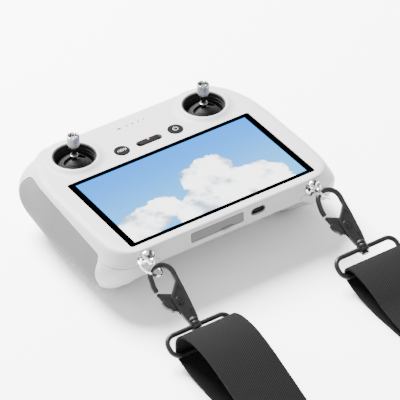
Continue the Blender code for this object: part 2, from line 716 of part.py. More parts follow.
# The snap hook's own axes: along to its tip, across, and out of its flat face.
HOOK_ALONG = Vector((0.044, 0.838, 0.545)).normalized()
HOOK_ACROSS = Vector((0.998, -0.056, 0.004))
HOOK_ACROSS = (HOOK_ACROSS - HOOK_ACROSS.dot(HOOK_ALONG) * HOOK_ALONG).normalized()
HOOK_OUT = HOOK_ACROSS.cross(HOOK_ALONG)
HOOK_FRAME = Matrix((HOOK_ACROSS, HOOK_ALONG, HOOK_OUT)).transposed()
RIVET = (-2.6, 17.0)


def in_hook(side, u, v, w=0.0):
    """A place in the hook's own axes, as a place in the model."""
    return COLLAR[side] + u * HOOK_ACROSS + v * HOOK_ALONG + w * HOOK_OUT


def hook_plate(name, side, outline, low, high):
    mesh = prism(name, outline, low, high)
    mesh.transform(at(*COLLAR[side], HOOK_FRAME))
    return mesh


def ring_axes(side):
    """Out along the ring from the eye that it hangs in, and the way the wire runs through that eye."""
    turn, lift, roll = (math.radians(degrees) for degrees in LIE[side])
    out = Vector((math.sin(turn) * math.cos(lift), -math.cos(turn) * math.cos(lift), math.sin(lift)))
    level = Vector((0, 0, 1)).cross(out).normalized()
    return out, math.cos(roll) * level + math.sin(roll) * out.cross(level)


def make_post(m, side, name):
    x = side * POST_X
    turn = facing((0, -1, 0))
    profile = solid_profile([(1.3, -4.0), (1.3, 0.25), (5.2, 0.25), (5.2, 1.1), (4.0, 1.5), (1.5, 1.9)])
    post = place(name, turned("stem", profile, 14, at(x, HULL_NEAR, POST_Z, turn)), m["chrome"])
    profile = [(1.3, -0.4), (1.6, -0.9), (2.3, -0.9), (2.6, -0.4), (2.6, 0.4), (2.3, 0.9), (1.6, 0.9),
               (1.3, 0.4)]
    round_to = ring_axes(side)[1]
    add(post, turned("eye", profile, 16, at(*EYE[side], facing(round_to))))
    to_wall = (Vector((0, 1, 0)) - round_to.y * round_to).normalized()
    add(post, rod("neck", 1.0, (x, HULL_NEAR - 0.8, POST_Z), EYE[side] + 2.1 * to_wall, 10))
    smooth(post)


def make_ring(m, side, name):
    """The ring hangs in the post's eye, lifted a little by the hook that is clipped to it."""
    out, round_to = ring_axes(side)
    middle = EYE[side] + RING_RADIUS * out
    path = [
        middle + RING_RADIUS * (math.cos(a) * out + math.sin(a) * round_to)
        for a in (2 * math.pi * k / 24 for k in range(24))
    ]
    ring = place(name, tube(name, path, RING_WIRE, 6, ring=True, sideways=out.cross(round_to)), m["chrome"])
    pivot(smooth(ring), *EYE[side])


def make_hook(m, side, word):
    path = [(-12.6, 26.4), (-12.9, 30.0), (-12.3, 34.3)]
    path += [(-5 + 7.2 * math.cos(a), 34.3 + 7.2 * math.sin(a))
             for a in (math.radians(d) for d in range(160, -1, -20))]
    path += [(2.3, 28.0), (2.2, 20.0), (1.6, 10.0)]
    centres = [in_hook(side, u, v) for u, v in path]
    hook = place(f"{word}_snap_hook", tube("bow", centres, 1.6, 8, sideways=HOOK_OUT), m["gunmetal"])
    plate = [(-3.4, 3.2), (3.2, 3.2), (3.6, 9.0), (3.7, 24.0), (2.6, 33.0), (0.6, 29.0), (-3.0, 24.4),
             (-6.6, 20.6), (-6.0, 13.0)]
    add(hook, hook_plate("plate", side, plate, -1.5, 1.5))
    shank = solid_profile([(2.4, -3.9), (2.4, -2.7), (1.5, -2.7), (1.5, 3.6), (1.5, 4.2)])
    add(hook, turned("shank", shank, 14, at(*in_hook(side, 0, 0), facing(HOOK_ALONG))))
    slot = [(-14.3, 9.4), (-4.0, 9.4), (0.2, 15.5), (0.4, 24.8), (-6, 26), (-8.4, 29.4), (-10.5, 28.2),
            (-12.3, 26.7), (-13.8, 24.9), (-14.3, 24.0)]
    cut(hook, hook_plate("slot", side, slot, -0.9, 0.9))
    add(hook, rod("rivet", 0.7, in_hook(side, *RIVET, -1.9), in_hook(side, *RIVET, 1.9), 10))
    pivot(smooth(hook), *in_hook(side, 0, 0))

    gate = [(-4.6, 12.4), (-1.0, 15.4), (-0.9, 18.4), (-5.6, 22.8), (-12.6, 25.7), (-13.6, 24.6),
            (-12.8, 22.8), (-12.2, 20.2), (-11.2, 17.0), (-9.6, 16.2), (-9.0, 13.6), (-7.4, 12.6),
            (-6.6, 11.2)]
    lever = place(f"{word}_hook_gate", hook_plate("gate", side, gate, -0.6, 0.6), m["gunmetal"])
    grip = [(-12.6, 17.4), (-12.2, 20.2), (-10.4, 20.2), (-7.3, 14.6), (-7.3, 11.6), (-8.6, 12.0),
            (-9.6, 14.0), (-11.2, 15.2)]
    add(lever, hook_plate("thumb", side, grip, -1.5, 1.5))
    cut(lever, rod("hole", 1.0, in_hook(side, *RIVET, -4), in_hook(side, *RIVET, 4), 12))
    pivot(smooth(lever), *in_hook(side, *RIVET))


LOOP_DOWN = Vector((0, -0.838, -0.545)).normalized()
LOOP_WIDTH = 43.0
LOOP_DEPTH = 13.0
LOOP_WIRE = 1.5


def make_loop(m, side, name):
    """The rectangular loop that carries the webbing, with the collar that the hook turns in."""
    start = COLLAR[side]
    outline = round_rectangle(LOOP_WIDTH, LOOP_DEPTH, 5.5, 4, (0, LOOP_DEPTH / 2))
    path = [start + Vector((u, 0, 0)) + v * LOOP_DOWN for u, v in outline]
    normal = Vector((1, 0, 0)).cross(LOOP_DOWN)
    loop = place(name, tube(name, path, LOOP_WIRE, 6, ring=True, sideways=normal), m["gunmetal"])
    collar = solid_profile([(3.0, -2.3), (3.4, -1.9), (3.4, 1.9), (3.0, 2.3)])
    add(loop, turned("collar", collar, 16, at(*start, facing(HOOK_ALONG))))
    cut(loop, rod("bore", 1.8, start - 6 * HOOK_ALONG, start + 6 * HOOK_ALONG, 14))
    smooth(loop)


# ---------------------------------------------------------------- webbing
WEB_WIDTH = 37.0
WEB_THICK = 1.5
FOLD_Y = -258.0
TABLE_Z = 0.95        # the webbing's middle where it lies flat

# Each strap end seen from the side, as (y, z) from the middle of the loop's bar: from its tail under the
# loop, round the bar and back over itself. Where z is None the webbing lies on the table.
STRAP_SIDE = {
    -1: ((-64.0, None), (-42.0, None), (-26.0, -7.6), (-14.0, -6.4), (-6.0, -4.6), (-1.0, -3.0), (2.2, -1.6),
         (3.4, 1.4), (3.3, 6.0), (2.2, 10.4), (-0.8, 14.6), (-5.6, 17.6), (-12.0, 19.4), (-20.0, 19.9),
         (-29.0, 18.8), (-40.0, 15.6), (-52.0, 11.0), (-66.0, 5.4), (-80.0, -0.6), (-92.0, -5.0),
         (-104.0, -7.9), (-112.0, None)),
    1: ((-66.0, None), (-40.0, None), (-26.0, -9.0), (-14.0, -7.6), (-6.0, -5.6), (-1.0, -3.6), (2.2, -1.9),
        (3.4, 0.9), (2.9, 3.9), (0.8, 6.2), (-3.4, 7.5), (-9.0, 7.6), (-17.0, 6.2), (-26.0, 3.4),
        (-36.0, -0.6),        (-48.0, -3.6), (-62.0, -5.9), (-78.0, -7.8), (-92.0, -9.0), (-104.0, None)),
}


def ribbon(name, path, across, width, thick):
    """A flat strap along a path; across is the direction of its width."""
    loops = []
    for i, p in enumerate(path):
        along = (path[min(i + 1, len(path) - 1)] - path[max(i - 1, 0)]).normalized()
        up = along.cross(across).normalized()
        a, b = across * width / 2, up * thick / 2
        loops.append([p + a + b, p - a + b, p - a - b, p + a - b])
    return loft(name, loops)


def make_strap_run(m, side, word):
    """One end of the strap: its tail, its turn round the loop, and its run over the table to a mitre fold."""
    bar = COLLAR[side] + LOOP_DEPTH * LOOP_DOWN
    x = bar.x
    path = [Vector((x, bar.y + y, TABLE_Z if z is None else bar.z + z)) for y, z in STRAP_SIDE[side]]
    path.append(Vector((x, -240.0, TABLE_Z)))
    mesh = ribbon("run", path, Vector((1, 0, 0)), WEB_WIDTH, WEB_THICK)
    run = place(f"strap_{word}_run", mesh, m["webbing"])
    outer, inner = x + side * WEB_WIDTH / 2, x - side * WEB_WIDTH / 2
    edge = side * 0.05
    mitre = [(outer - edge, -238.6), (inner + edge, -238.6), (inner + edge, FOLD_Y - 18.5),
             (outer - edge, -238.8)]
    add(run, prism("mitre", mitre, 0.2, 1.6))
    across = [(outer - 2 * edge, FOLD_Y + 18.5), (side * 10.0, FOLD_Y + 18.5), (side * 10.0, FOLD_Y - 18.4),
              (inner + 2 * edge, FOLD_Y - 18.4)]
    add(run, prism("across", across, 1.5, 3.0))
    smooth(run)


def make_hank(m):
    path = []
    layers, pitch, low, half = 7, 1.8, 4.1, 50.0
    for k in range(layers):
        z = low + pitch * k
        way = 1 if k % 2 == 0 else -1
        path += [Vector((-way * half, FOLD_Y, z)), Vector((way * half, FOLD_Y, z))]
        if k < layers - 1:
            path += [
                Vector((way * (half + pitch / 2 * math.sin(a)), FOLD_Y, z + pitch / 2 * (1 - math.cos(a))))
                for a in (math.pi / 4, math.pi / 2, 3 * math.pi / 4)
            ]
    smooth(place("strap_hank", ribbon("hank", path, Vector((0, 1, 0)), WEB_WIDTH, WEB_THICK), m["webbing"]))
    high = low + pitch * (layers - 1) + 0.8
    near, far = FOLD_Y - 20.8, FOLD_Y + 20.8
    outline = [(near, 1.9), (far, 1.9), (far, high + 1.6), (near, high + 1.6)]
    inside = [(near + 1.3, 3.1), (far - 1.3, 3.1), (far - 1.3, high + 0.4), (near + 1.3, high + 0.4)]
    tie = place("strap_tie", prism("tie", outline, -8, 8, axis="x"), m["pad"])
    cut(tie, prism("inside", inside, -20, 20, axis="x"))


def main():
    for obj in list(bpy.data.objects):
        bpy.data.objects.remove(obj)
    m = make_materials()
    make_top_shell(m["shell"])
    make_bottom_shell(m["shell"])
    make_pad(m["pad"], -1, "left_grip_pad")
    make_pad(m["pad"], 1, "right_grip_pad")
    make_feet(m["dark"])
    make_screws(m["steel"])
    make_screen(m)
    make_sound_and_air(m)
    make_stick(m, -1, "left")
    make_stick(m, 1, "right")
    make_face_controls(m)
    make_shoulder_controls(m)
    make_ports(m)
    for side, word in ((-1, "left"), (1, "right")):
        make_post(m, side, f"{word}_strap_post")
        make_ring(m, side, f"{word}_split_ring")
        make_hook(m, side, word)
        make_loop(m, side, f"{word}_strap_loop")
        make_strap_run(m, side, word)
    make_hank(m)
    # The origin goes to the middle of the transmitter's length, strap posts and shoulder buttons included.
    for obj in bpy.data.objects:
        obj.location.y += LENGTH_SHIFT * MM


main()
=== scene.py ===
"""Looks of a hand-held radio transmitter: a white two-piece case with grips, a touchscreen, two sticks,
and a webbing neck strap on snap hooks. Lengths are written in millimetres and multiplied by MM."""
import json
import math

import bpy
from mathutils import Matrix, Vector


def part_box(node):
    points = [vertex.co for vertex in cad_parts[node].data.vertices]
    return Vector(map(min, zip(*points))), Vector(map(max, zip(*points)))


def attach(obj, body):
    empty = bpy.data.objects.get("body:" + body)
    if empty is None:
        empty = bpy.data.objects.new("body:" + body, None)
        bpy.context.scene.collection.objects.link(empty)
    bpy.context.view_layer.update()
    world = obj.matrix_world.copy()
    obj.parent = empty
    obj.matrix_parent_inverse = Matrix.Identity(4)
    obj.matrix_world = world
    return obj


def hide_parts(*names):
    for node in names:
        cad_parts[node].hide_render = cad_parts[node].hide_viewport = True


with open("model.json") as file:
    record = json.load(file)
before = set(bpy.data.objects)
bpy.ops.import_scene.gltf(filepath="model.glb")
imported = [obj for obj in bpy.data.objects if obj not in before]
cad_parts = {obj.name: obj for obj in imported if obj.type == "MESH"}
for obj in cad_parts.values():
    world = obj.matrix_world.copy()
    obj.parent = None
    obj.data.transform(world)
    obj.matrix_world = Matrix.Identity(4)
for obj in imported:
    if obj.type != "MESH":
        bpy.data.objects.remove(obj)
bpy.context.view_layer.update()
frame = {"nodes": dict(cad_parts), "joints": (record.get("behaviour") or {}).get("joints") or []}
joints = {joint["name"]: joint for joint in frame["joints"]}
MM = 0.001
TOP = 44.2
SIDES = ((-1, "left"), (1, "right"))


def placed(name, data):
    """A new object in the scene that holds this data."""
    obj = bpy.data.objects.new(name, data)
    bpy.context.scene.collection.objects.link(obj)
    return obj


# ---- Camera and lamps --------------------------------------------------------------------------
# A long lens looks down on the screen from the near left. A large lamp overhead and behind gives most
# of the light, with a weaker one from the left that shapes the grips and the wall.
azimuth, elevation, roll = (math.radians(angle) for angle in (-31.341, 37.016, -2.525))
back = Vector((math.sin(azimuth) * math.cos(elevation), -math.cos(azimuth) * math.cos(elevation),
               math.sin(elevation)))
level = Vector((math.cos(azimuth), math.sin(azimuth), 0))
upright = back.cross(level)
right = math.cos(roll) * level + math.sin(roll) * upright
up = math.cos(roll) * upright - math.sin(roll) * level
glass_low, glass_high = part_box("screen_glass")
aim = Vector(((glass_low.x + glass_high.x) / 2, (glass_low.y + glass_high.y) / 2, TOP * MM))
distance, slide, sink = 1.782684, 0.00525, 0.01312
lens = bpy.data.cameras.new("camera")
lens.sensor_width = 36
lens.lens = 268.74
lens.clip_end = 20
camera = placed("camera", lens)
turned = Matrix((right, up, back)).transposed().to_4x4()
camera.matrix_world = Matrix.Translation(aim + back * distance + right * slide - up * sink) @ turned
bpy.context.scene.camera = camera


def lamp(name, place, towards, size, power):
    light = bpy.data.lights.new(name, "AREA")
    light.shape = "DISK"
    light.size = size
    light.energy = power
    obj = placed(name, light)
    obj.location = place
    obj.rotation_euler = (Vector(towards) - Vector(place)).to_track_quat("-Z", "Y").to_euler()


lamp("overhead", (-0.1, 0.95, 1.35), (0, 0, 0), 1.0, 250)
lamp("from_left", (-1.0, -1.2, 1.3), (0, 0, 0), 0.9, 5)
world = bpy.data.worlds.new("studio")
bpy.context.scene.world = world
world.use_nodes = True
world.node_tree.nodes["Background"].inputs["Color"].default_value = (1.0, 1.0, 1.0, 1.0)
world.node_tree.nodes["Background"].inputs["Strength"].default_value = 1.4


# ---- Finishes ----------------------------------------------------------------------------------
# Every finish is a Principled shader. A Wire is one output socket, so that a pattern reads as sums
# and products of its parts.
class Wire:
    def __init__(self, finish, socket):
        self.finish, self.socket = finish, socket

    def maths(self, operation, *others):
        return self.finish.node("ShaderNodeMath", {"operation": operation}, dict(enumerate((self, *others))))

    def __add__(self, other):
        return self.maths("ADD", other)

    __radd__ = __add__

    def __mul__(self, other):
        return self.maths("MULTIPLY", other)

    __rmul__ = __mul__

    def __sub__(self, other):
        return self.maths("SUBTRACT", other)

    def __rsub__(self, other):
        return self * -1 + other

    def step(self, low, high):
        """0 below low, 1 above high, and smooth between them."""
        inputs = {"Value": self, "From Min": low, "From Max": high}
        return self.finish.node("ShaderNodeMapRange", {"interpolation_type": "SMOOTHSTEP"}, inputs)


class Finish:
    def __init__(self, name, colour, roughness=0.5, metallic=0.0, specular=0.5):
        self.made = bpy.data.materials.new(name)
        self.made.use_nodes = True
        self.tree = self.made.node_tree
        self.shader = self.tree.nodes["Principled BSDF"]
        values = {"Base Color": (*colour, 1.0), "Roughness": roughness, "Metallic": metallic,
                  "Specular IOR Level": specular}
        for socket, value in values.items():
            self.shader.inputs[socket].default_value = value

    def node(self, kind, settings, inputs, output=0):
        made = self.tree.nodes.new(kind)
        for setting, value in settings.items():
            setattr(made, setting, value)
        for socket, value in inputs.items():
            if isinstance(value, Wire):
                self.tree.links.new(value.socket, made.inputs[socket])
            else:
                made.inputs[socket].default_value = value
        return Wire(self, made.outputs[output])

    def give(self, socket, wire):
        self.tree.links.new(wire.socket, self.shader.inputs[socket])
        return self

    def where(self, space="Object"):
        return self.node("ShaderNodeTexCoord", {}, {}, space)

    def split(self, vector):
        """The x and y of a vector, as two wires."""
        parts = self.node("ShaderNodeSeparateXYZ", {}, {"Vector": vector}).socket.node.outputs
        return Wire(self, parts[0]), Wire(self, parts[1])

    def noise(self, scale, detail=3.0, roughness=0.55, at=None):
        inputs = {"Vector": at or self.where(), "Scale": scale, "Detail": detail, "Roughness": roughness}
        return self.node("ShaderNodeTexNoise", {}, inputs)

    def uneven(self, scale, spread, least, detail=3.0):
        """Lets the roughness drift between least and least + spread."""
        return self.give("Roughness", self.noise(scale, detail) * spread + least)

    def mix(self, share, first, second):
        inputs = {0: share, 6: first, 7: second}
        return self.node("ShaderNodeMix", {"data_type": "RGBA"}, inputs, 2)

    def bump(self, height, strength, depth):
        inputs = {"Height": height, "Strength": strength, "Distance": depth}
        return self.give("Normal", self.node("ShaderNodeBump", {}, inputs))

    def mottle(self, scale, first, second):
        """Lets the colour drift between two."""
        return self.give("Base Color", self.mix(self.noise(scale), (*first, 1), (*second, 1)))


def tint(value, cast=0.0):
    return (value, value, value * (1 + cast), 1.0)


def moulded(name, shade, roughness, grain, depth, spread=0.06, specular=0.3):
    """Moulded plastic or rubber: a fine grain in the surface, and slow drifts of shade and gloss."""
    finish = Finish(name, (shade,) * 3, roughness, specular=specular)
    drift = finish.noise(45, 3)
    finish.give("Base Color", finish.mix(drift, tint(shade * (1 - spread)), tint(shade * (1 + spread))))
    fine = finish.noise(grain, 2, 0.6)
    finish.give("Roughness", drift * 0.12 + fine * 0.08 + (roughness - 0.1))
    return finish.bump(fine + finish.noise(grain * 0.31, 2) * 0.5, 0.35, depth)


white = moulded("white_case", 0.35, 0.48, 2600, 0.00004, 0.012)
rubber = moulded("grip_rubber", 0.085, 0.72, 3400, 0.00012, 0.04)
black = moulded("black_plastic", 0.010, 0.46, 3000, 0.00006, 0.15, 0.12)
charcoal = moulded("charcoal_plastic", 0.006, 0.5, 3000, 0.00005, 0.1, 0.015)


def finished(obj, finish, body, slot, *nodes):
    """Gives a piece its material and body, and hides the CAD nodes that it stands for. The slot is not used.
    """
    obj.data.materials.clear()
    obj.data.materials.append(finish.made)
    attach(obj, body)
    if nodes:
        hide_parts(*nodes)
    return obj


# ---- The case: top and bottom shells -----------------------------------------------------------
# Two injection-moulded white shells meet on a parting line low on the sides, with a band under the
# screen that belongs to the top one. The form is lofted from one half section, drawn in at the ends.
SHIFT = 4.2
SEAM = 34.2
WALL = 2.0
NEAR_END, FAR_END = 18, 26
CORNER = 18.0
NEAR_WALL, FAR_WALL = -61.85, 60.85
GRIP_LINE = ((-61.85, 24), (-57, 17.5), (-49, 11), (-41, 4.8), (-33, 1.2), (-25, 0.3), (28, 0.3),
             (38, 2.6), (48, 8), (56, 15.5), (61, 22))
SLAB_LINE = ((-61.85, 31), (-40, 29.2), (0, 25.5), (40, 22), (61, 24))
FULL_WIDTH = ((-61.85, 82.6), (-30, 84.2), (12, 84.2), (40, 82.2), (61, 81.5))
SECTION_SHARES = (
    (0.0, 0.0), (0.30, 0.30), (0.60, 0.60), (0.80, 0.80), (0.875, 0.875), (0.918, 0.918), (0.938, 0.938),
    (0.975, 0.975), (1.004, 1.004), (1.004, 1.004), (0.965, 0.945), (0.915, 0.835), (0.865, 0.72),
    (0.80, 0.60), (0.70, 0.515), (0.55, 0.435), (0.40, 0.33), (0.20, 0.18), (0.0, 0.0),
)
SHOULDER_SHARES = {3: 0.5, 4: 0.9, 5: 1.0, 6: 0.85, 7: 0.3}


def ease(t):
    t = min(1.0, max(0.0, t))
    return t * t * (3 - 2 * t)


def through(knots, y):
    if y <= knots[0][0]:
        return knots[0][1]
    for (a, low), (b, high) in zip(knots, knots[1:]):
        if y <= b:
            return low + (high - low) * (0.5 * ease((y - a) / (b - a)) + 0.5 * (y - a) / (b - a))
    return knots[-1][1]


def corner_drop(distance, radius):
    if distance >= radius:
        return 0.0
    return radius - math.sqrt(max(0.0, radius ** 2 - (radius - distance) ** 2))


def half_section(y, inset):
    from_near, from_far = y - NEAR_WALL - inset, FAR_WALL - y - inset
    half = through(FULL_WIDTH, y) - inset - corner_drop(from_near, CORNER) - corner_drop(from_far, CORNER)
    top = TOP - inset - corner_drop(from_near, 1.6) - corner_drop(from_far, 4.5)
    grip, slab = through(GRIP_LINE, y) + inset, through(SLAB_LINE, y) + inset
    side, into = top - grip, ease(from_near / 32)
    heights = (
        top, top, top, top, top, top - 0.9,
        top - min(5.5, 0.16 * side), top - min(11.5, 0.30 * side), top - min(17.0, 0.44 * side),
        top - min(25.0, 0.62 * side), top - min(35.0, 0.82 * side), grip + 1.5,
        grip + (1 - into) * 0.5 * (slab - grip) - 0.6, slab + into * (grip + 2 - slab),
        slab + into * (grip + 10 - slab), slab - into * 2.5, slab, slab, slab,
    )
    pull = 7.5 * ease(1 - from_far / 34)
    return [(half * (near + into * (inner - near)) - pull * SHOULDER_SHARES.get(k, 0.0), z)
            for k, ((near, inner), z) in enumerate(zip(SECTION_SHARES, heights))]


def full_section(y, inset, samples):
    """The closed smooth curve that the mirrored half section controls."""
    half = half_section(y, inset)
    knots = half + [(-x, z) for x, z in reversed(half[1:-1])]
    made = []
    for k in range(len(knots)):
        a, b, c, d = (Vector(knots[(k + i) % len(knots)]) for i in (-1, 0, 1, 2))
        for s in range(samples):
            t = s / samples
            p = ((1 - t) ** 3 * a + (3 * t ** 3 - 6 * t ** 2 + 4) * b
                 + (-3 * t ** 3 + 3 * t ** 2 + 3 * t + 1) * c + t ** 3 * d) / 6
            made.append((p.x, y, p.y))
    return made


def link_mesh(name, points, faces):
    """A new object from points in millimetres, moved to where the CAD has it."""
    mesh = bpy.data.meshes.new(name)
    mesh.from_pydata([(Vector(p) + Vector((0, SHIFT, 0))) * MM for p in points], [], faces)
    return placed(name, mesh)


def only(obj):
    """Leaves this object selected and active, and nothing else."""
    bpy.ops.object.select_all(action="DESELECT")
    obj.select_set(True)
    bpy.context.view_layer.objects.active = obj
    return obj


def tidy_faces(obj, merge=0.002):
    """Merges doubled points and turns the faces outwards, in edit mode."""
    only(obj)
    bpy.ops.object.mode_set(mode="EDIT")
    bpy.ops.mesh.select_all(action="SELECT")
    bpy.ops.mesh.remove_doubles(threshold=merge * MM)
    bpy.ops.mesh.normals_make_consistent(inside=False)
    bpy.ops.object.mode_set(mode="OBJECT")
    return obj


def hull(name, inset, fine=True):
    samples = 5 if fine else 1
    ends = 18 if fine else 6
    near = [NEAR_END * (1 - math.cos(math.pi / 2 * k / ends)) for k in range(ends)]
    far = [FAR_END * (1 - math.cos(math.pi / 2 * k / ends)) for k in range(ends)]
    start, end = NEAR_WALL + inset, FAR_WALL - inset
    steps = 22 if fine else 6
    between = [start + NEAR_END + (end - start - (NEAR_END + FAR_END)) * k / steps
               for k in range(steps + 1)]
    stations = [start + d for d in near] + between + [end - d for d in reversed(far)]
    loops = [full_section(y, inset, samples) for y in stations]
    count = len(loops[0])
    faces = [tuple(range(count)), tuple(reversed(range(count * (len(loops) - 1), count * len(loops))))]
    for row in range(len(loops) - 1):
        for k in range(count):
            n = (k + 1) % count
            faces.append((row * count + n, row * count + k, (row + 1) * count + k, (row + 1) * count + n))
    obj = tidy_faces(link_mesh(name, [p for loop in loops for p in loop], faces))
    bpy.ops.object.mode_set(mode="EDIT")
    bpy.ops.mesh.select_all(action="SELECT")
    bpy.ops.mesh.quads_convert_to_tris()
    bpy.ops.object.mode_set(mode="OBJECT")
    return obj


def apply_all(obj):
    only(obj)
    for modifier in list(obj.modifiers):
        bpy.ops.object.modifier_apply(modifier=modifier.name)
    return obj


def carve(obj, tool, operation="DIFFERENCE"):
    """Cuts a piece with another one, which is then thrown away."""
    modifier = obj.modifiers.new("carve", "BOOLEAN")
    modifier.operation = operation
    modifier.object = tool
    apply_all(obj)
    bpy.data.objects.remove(tool)
    return obj


def settle(obj):
    """Moves a primitive's place, turn and scale into its mesh."""
    only(obj)
    bpy.ops.object.transform_apply(location=True, rotation=True, scale=True)
    return obj


def joined(name, *objs):
    """Makes one object of several."""
    only(objs[0])
    for obj in objs:
        obj.select_set(True)
    bpy.ops.object.join()
    objs[0].name = name
    return objs[0]


def bevelled(obj, edge):
    """Rounds a piece's sharp edges over by this width."""
    if edge:
        bevel = obj.modifiers.new("rim", "BEVEL")
        bevel.width = edge * MM
        bevel.segments = 3
        bevel.limit_method = "ANGLE"
        bevel.angle_limit = math.radians(50)
        apply_all(obj)
    return obj


def thickened(obj, thickness):
    """Gives a sheet of faces a thickness, half of it to each side."""
    solid = obj.modifiers.new("thick", "SOLIDIFY")
    solid.thickness = thickness * MM
    solid.offset = 0
    return apply_all(obj)


def slab(name, middle, size, corner=0.0, along="Z", segments=8, edge=0.0):
    """A cube shaped into a plate with round corners about one axis and a small bevel on its rims."""
    bpy.ops.mesh.primitive_cube_add(size=1, location=Vector(middle) * MM, scale=Vector(size) * MM)
    obj = settle(bpy.context.object)
    obj.name = name
    if corner:
        axis = "XYZ".index(along)
        bpy.ops.object.mode_set(mode="EDIT")
        bpy.ops.mesh.select_all(action="DESELECT")
        bpy.ops.object.mode_set(mode="OBJECT")
        for edge_of in obj.data.edges:
            a, b = (obj.data.vertices[v].co for v in edge_of.vertices)
            edge_of.select = abs((a - b)[axis]) > 0.5 * size[axis] * MM
        bpy.ops.object.mode_set(mode="EDIT")
        bpy.ops.mesh.select_mode(type="EDGE")
        bpy.ops.mesh.bevel(offset=corner * MM, segments=segments, affect="EDGES")
        bpy.ops.object.mode_set(mode="OBJECT")
    return bevelled(obj, edge)


def smooth(obj, degrees=35):
    only(obj)
    bpy.ops.object.shade_smooth_by_angle(angle=math.radians(degrees))
    return obj


def spun(name, profile, place, axis=(0, 0, 1), steps=64):
    """A profile of (radius, height) points spun about an axis that passes through a place."""
    mesh = bpy.data.meshes.new(name)
    points = [(r * MM, 0, z * MM) for r, z in profile]
    mesh.from_pydata(points, [(k, k + 1) for k in range(len(points) - 1)], [])
    obj = only(placed(name, mesh))
    bpy.ops.object.mode_set(mode="EDIT")
    bpy.ops.mesh.select_all(action="SELECT")
    bpy.ops.mesh.spin(steps=steps, angle=2 * math.pi, center=(0, 0, 0), axis=(0, 0, 1))
    bpy.ops.object.mode_set(mode="OBJECT")
    tidy_faces(obj, 0.0005)
    turn = Vector((0, 0, 1)).rotation_difference(Vector(axis)).to_matrix().to_4x4()
    obj.data.transform(Matrix.Translation(Vector(place) * MM) @ turn)
    return smooth(obj)


def closed(profile):
    """Carries a profile's two ends in to the axis."""
    return [(0, profile[0][1]), *profile, (0, profile[-1][1])]


def drum(name, radius, place, height, axis=(0, 0, 1), steps=48):
    """A plain cylinder for cutting, centred on a place."""
    return spun(name, closed([(radius, -height / 2), (radius, height / 2)]), place, axis, steps)


PAD_LINE = (
    (-43.6, 18), (-43.6, 30), (-42.6, 34.2), (-38.5, 37.0), (-9, 39.2), (16, 40.6), (34, 40.2), (44, 38.2),
    (49, 34.6), (50.4, 30.5), (48.0, 25.0), (42, 18.5), (34, 13.4), (28, 12), (-35, 12), (-40, 13.6),
)


def spline_point(a, b, c, d, t):
    """The point at share t from b to c, on a smooth curve through all four."""
    return 0.5 * (2 * b + (c - a) * t + (2 * a - 5 * b + 4 * c - d) * t * t
                  + (3 * b - a - 3 * c + d) * t ** 3)


def pad_block(name, side, grow):
    """The prism that bounds a grip pad, seen from the side, its corners softened by a closed spline."""
    middle = Vector((sum(p[0] for p in PAD_LINE), sum(p[1] for p in PAD_LINE))) / len(PAD_LINE)
    outline = []
    for k in range(len(PAD_LINE)):
        a, b, c, d = (Vector(PAD_LINE[(k + i) % len(PAD_LINE)]) for i in (-1, 0, 1, 2))
        for s in range(4):
            p = spline_point(a, b, c, d, s / 4)
            away = p - middle
            outline.append((p.x + math.copysign(grow, away.x), p.y + math.copysign(grow, away.y)))
    count = len(outline)
    points = [(side * x, y, z) for x in (69, 95) for y, z in outline]
    faces = [tuple(range(count)), tuple(range(count, 2 * count))]
    faces += [(k, (k + 1) % count, count + (k + 1) % count, count + k) for k in range(count)]
    return tidy_faces(link_mesh(name, points, faces))


def band(grow):
    """The strip of the near wall, under the parting line, that is moulded with the top shell."""
    far = NEAR_WALL + 2.2 + grow + SHIFT
    return slab("band", (0, (far - 70) / 2, 27.6), (100 + 2 * grow, far + 70, 15.2))


STICKS = {side: Vector(joints[f"{word}_stick_pitch"]["pos_m"]) / MM for side, word in SIDES}
STICK_HOLE = 13.65
BUTTON_HOLE, BACK_BUTTON_HOLE, SCREW_HOLE, FOOT_HOLE = 5.05, 4.75, 1.5, 5.25
DIAL_SLOT = (8.1, 6.4)
FACE_CUT = 46
FEET = ("foot_near_left", "foot_near_right", "foot_far_left", "foot_far_right")
SCREWS = ("case_screw_1", "case_screw_2", "case_screw_3", "case_screw_4")
BUTTONS = {-1: "return_button", 1: "power_button"}


def middle_of(node):
    low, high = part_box(node)
    return (low + high) / 2 / MM


def size_of(node):
    low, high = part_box(node)
    return (high - low) / MM


glass_middle, glass_size = middle_of("screen_glass"), size_of("screen_glass")
flap_middle, flap_size = middle_of("port_cover"), size_of("port_cover")
port_middle = middle_of("charge_port")
lights = (-8.8, -3.2, 0.9, 4.9, 8.9)
light_y = middle_of("light_guide").y
near_face = NEAR_WALL + SHIFT

top_case = hull("top_case", 0)
for side, stick in STICKS.items():
    rim = [(-1.5, -1.2), (7.5, -1.2), (6.6, -0.1), (5.2, 0.12), (3.9, 0.45), (2.9, 0.95), (2.1, 1.5),
           (1.4, 1.86), (0.7, 2.0), (0.25, 1.9), (0.0, 1.6), (-1.5, 1.6)]
    profile = [(STICK_HOLE + out, TOP + rise) for out, rise in rim]
    carve(top_case, spun("lip", [*profile, profile[0]], (stick.x, stick.y, 0), steps=96), "UNION")
lower = slab("lower", (0, 0, (SEAM + 0.15 - 10) / 2), (240, 240, SEAM + 0.15 + 10))
carve(lower, band(0))
carve(top_case, lower)
carve(top_case, hull("hollow", WALL, fine=False))
cutters = [slab("window", (*glass_middle.xy, FACE_CUT), (glass_size.x + 0.5, glass_size.y + 0.5, 20), 1.6),
           slab("slot", (0, middle_of("mode_slider").y, FACE_CUT), (18.0, 5.6, 20), 2.79),
           slab("flap_hole", (flap_middle.x, near_face, flap_middle.z),
                (flap_size.x + 0.5, 12, flap_size.z + 0.5), 0.9, "Y"),
           slab("port_hole", (port_middle.x, near_face, port_middle.z), (10.4, 12, 5.0), 2.49, "Y")]
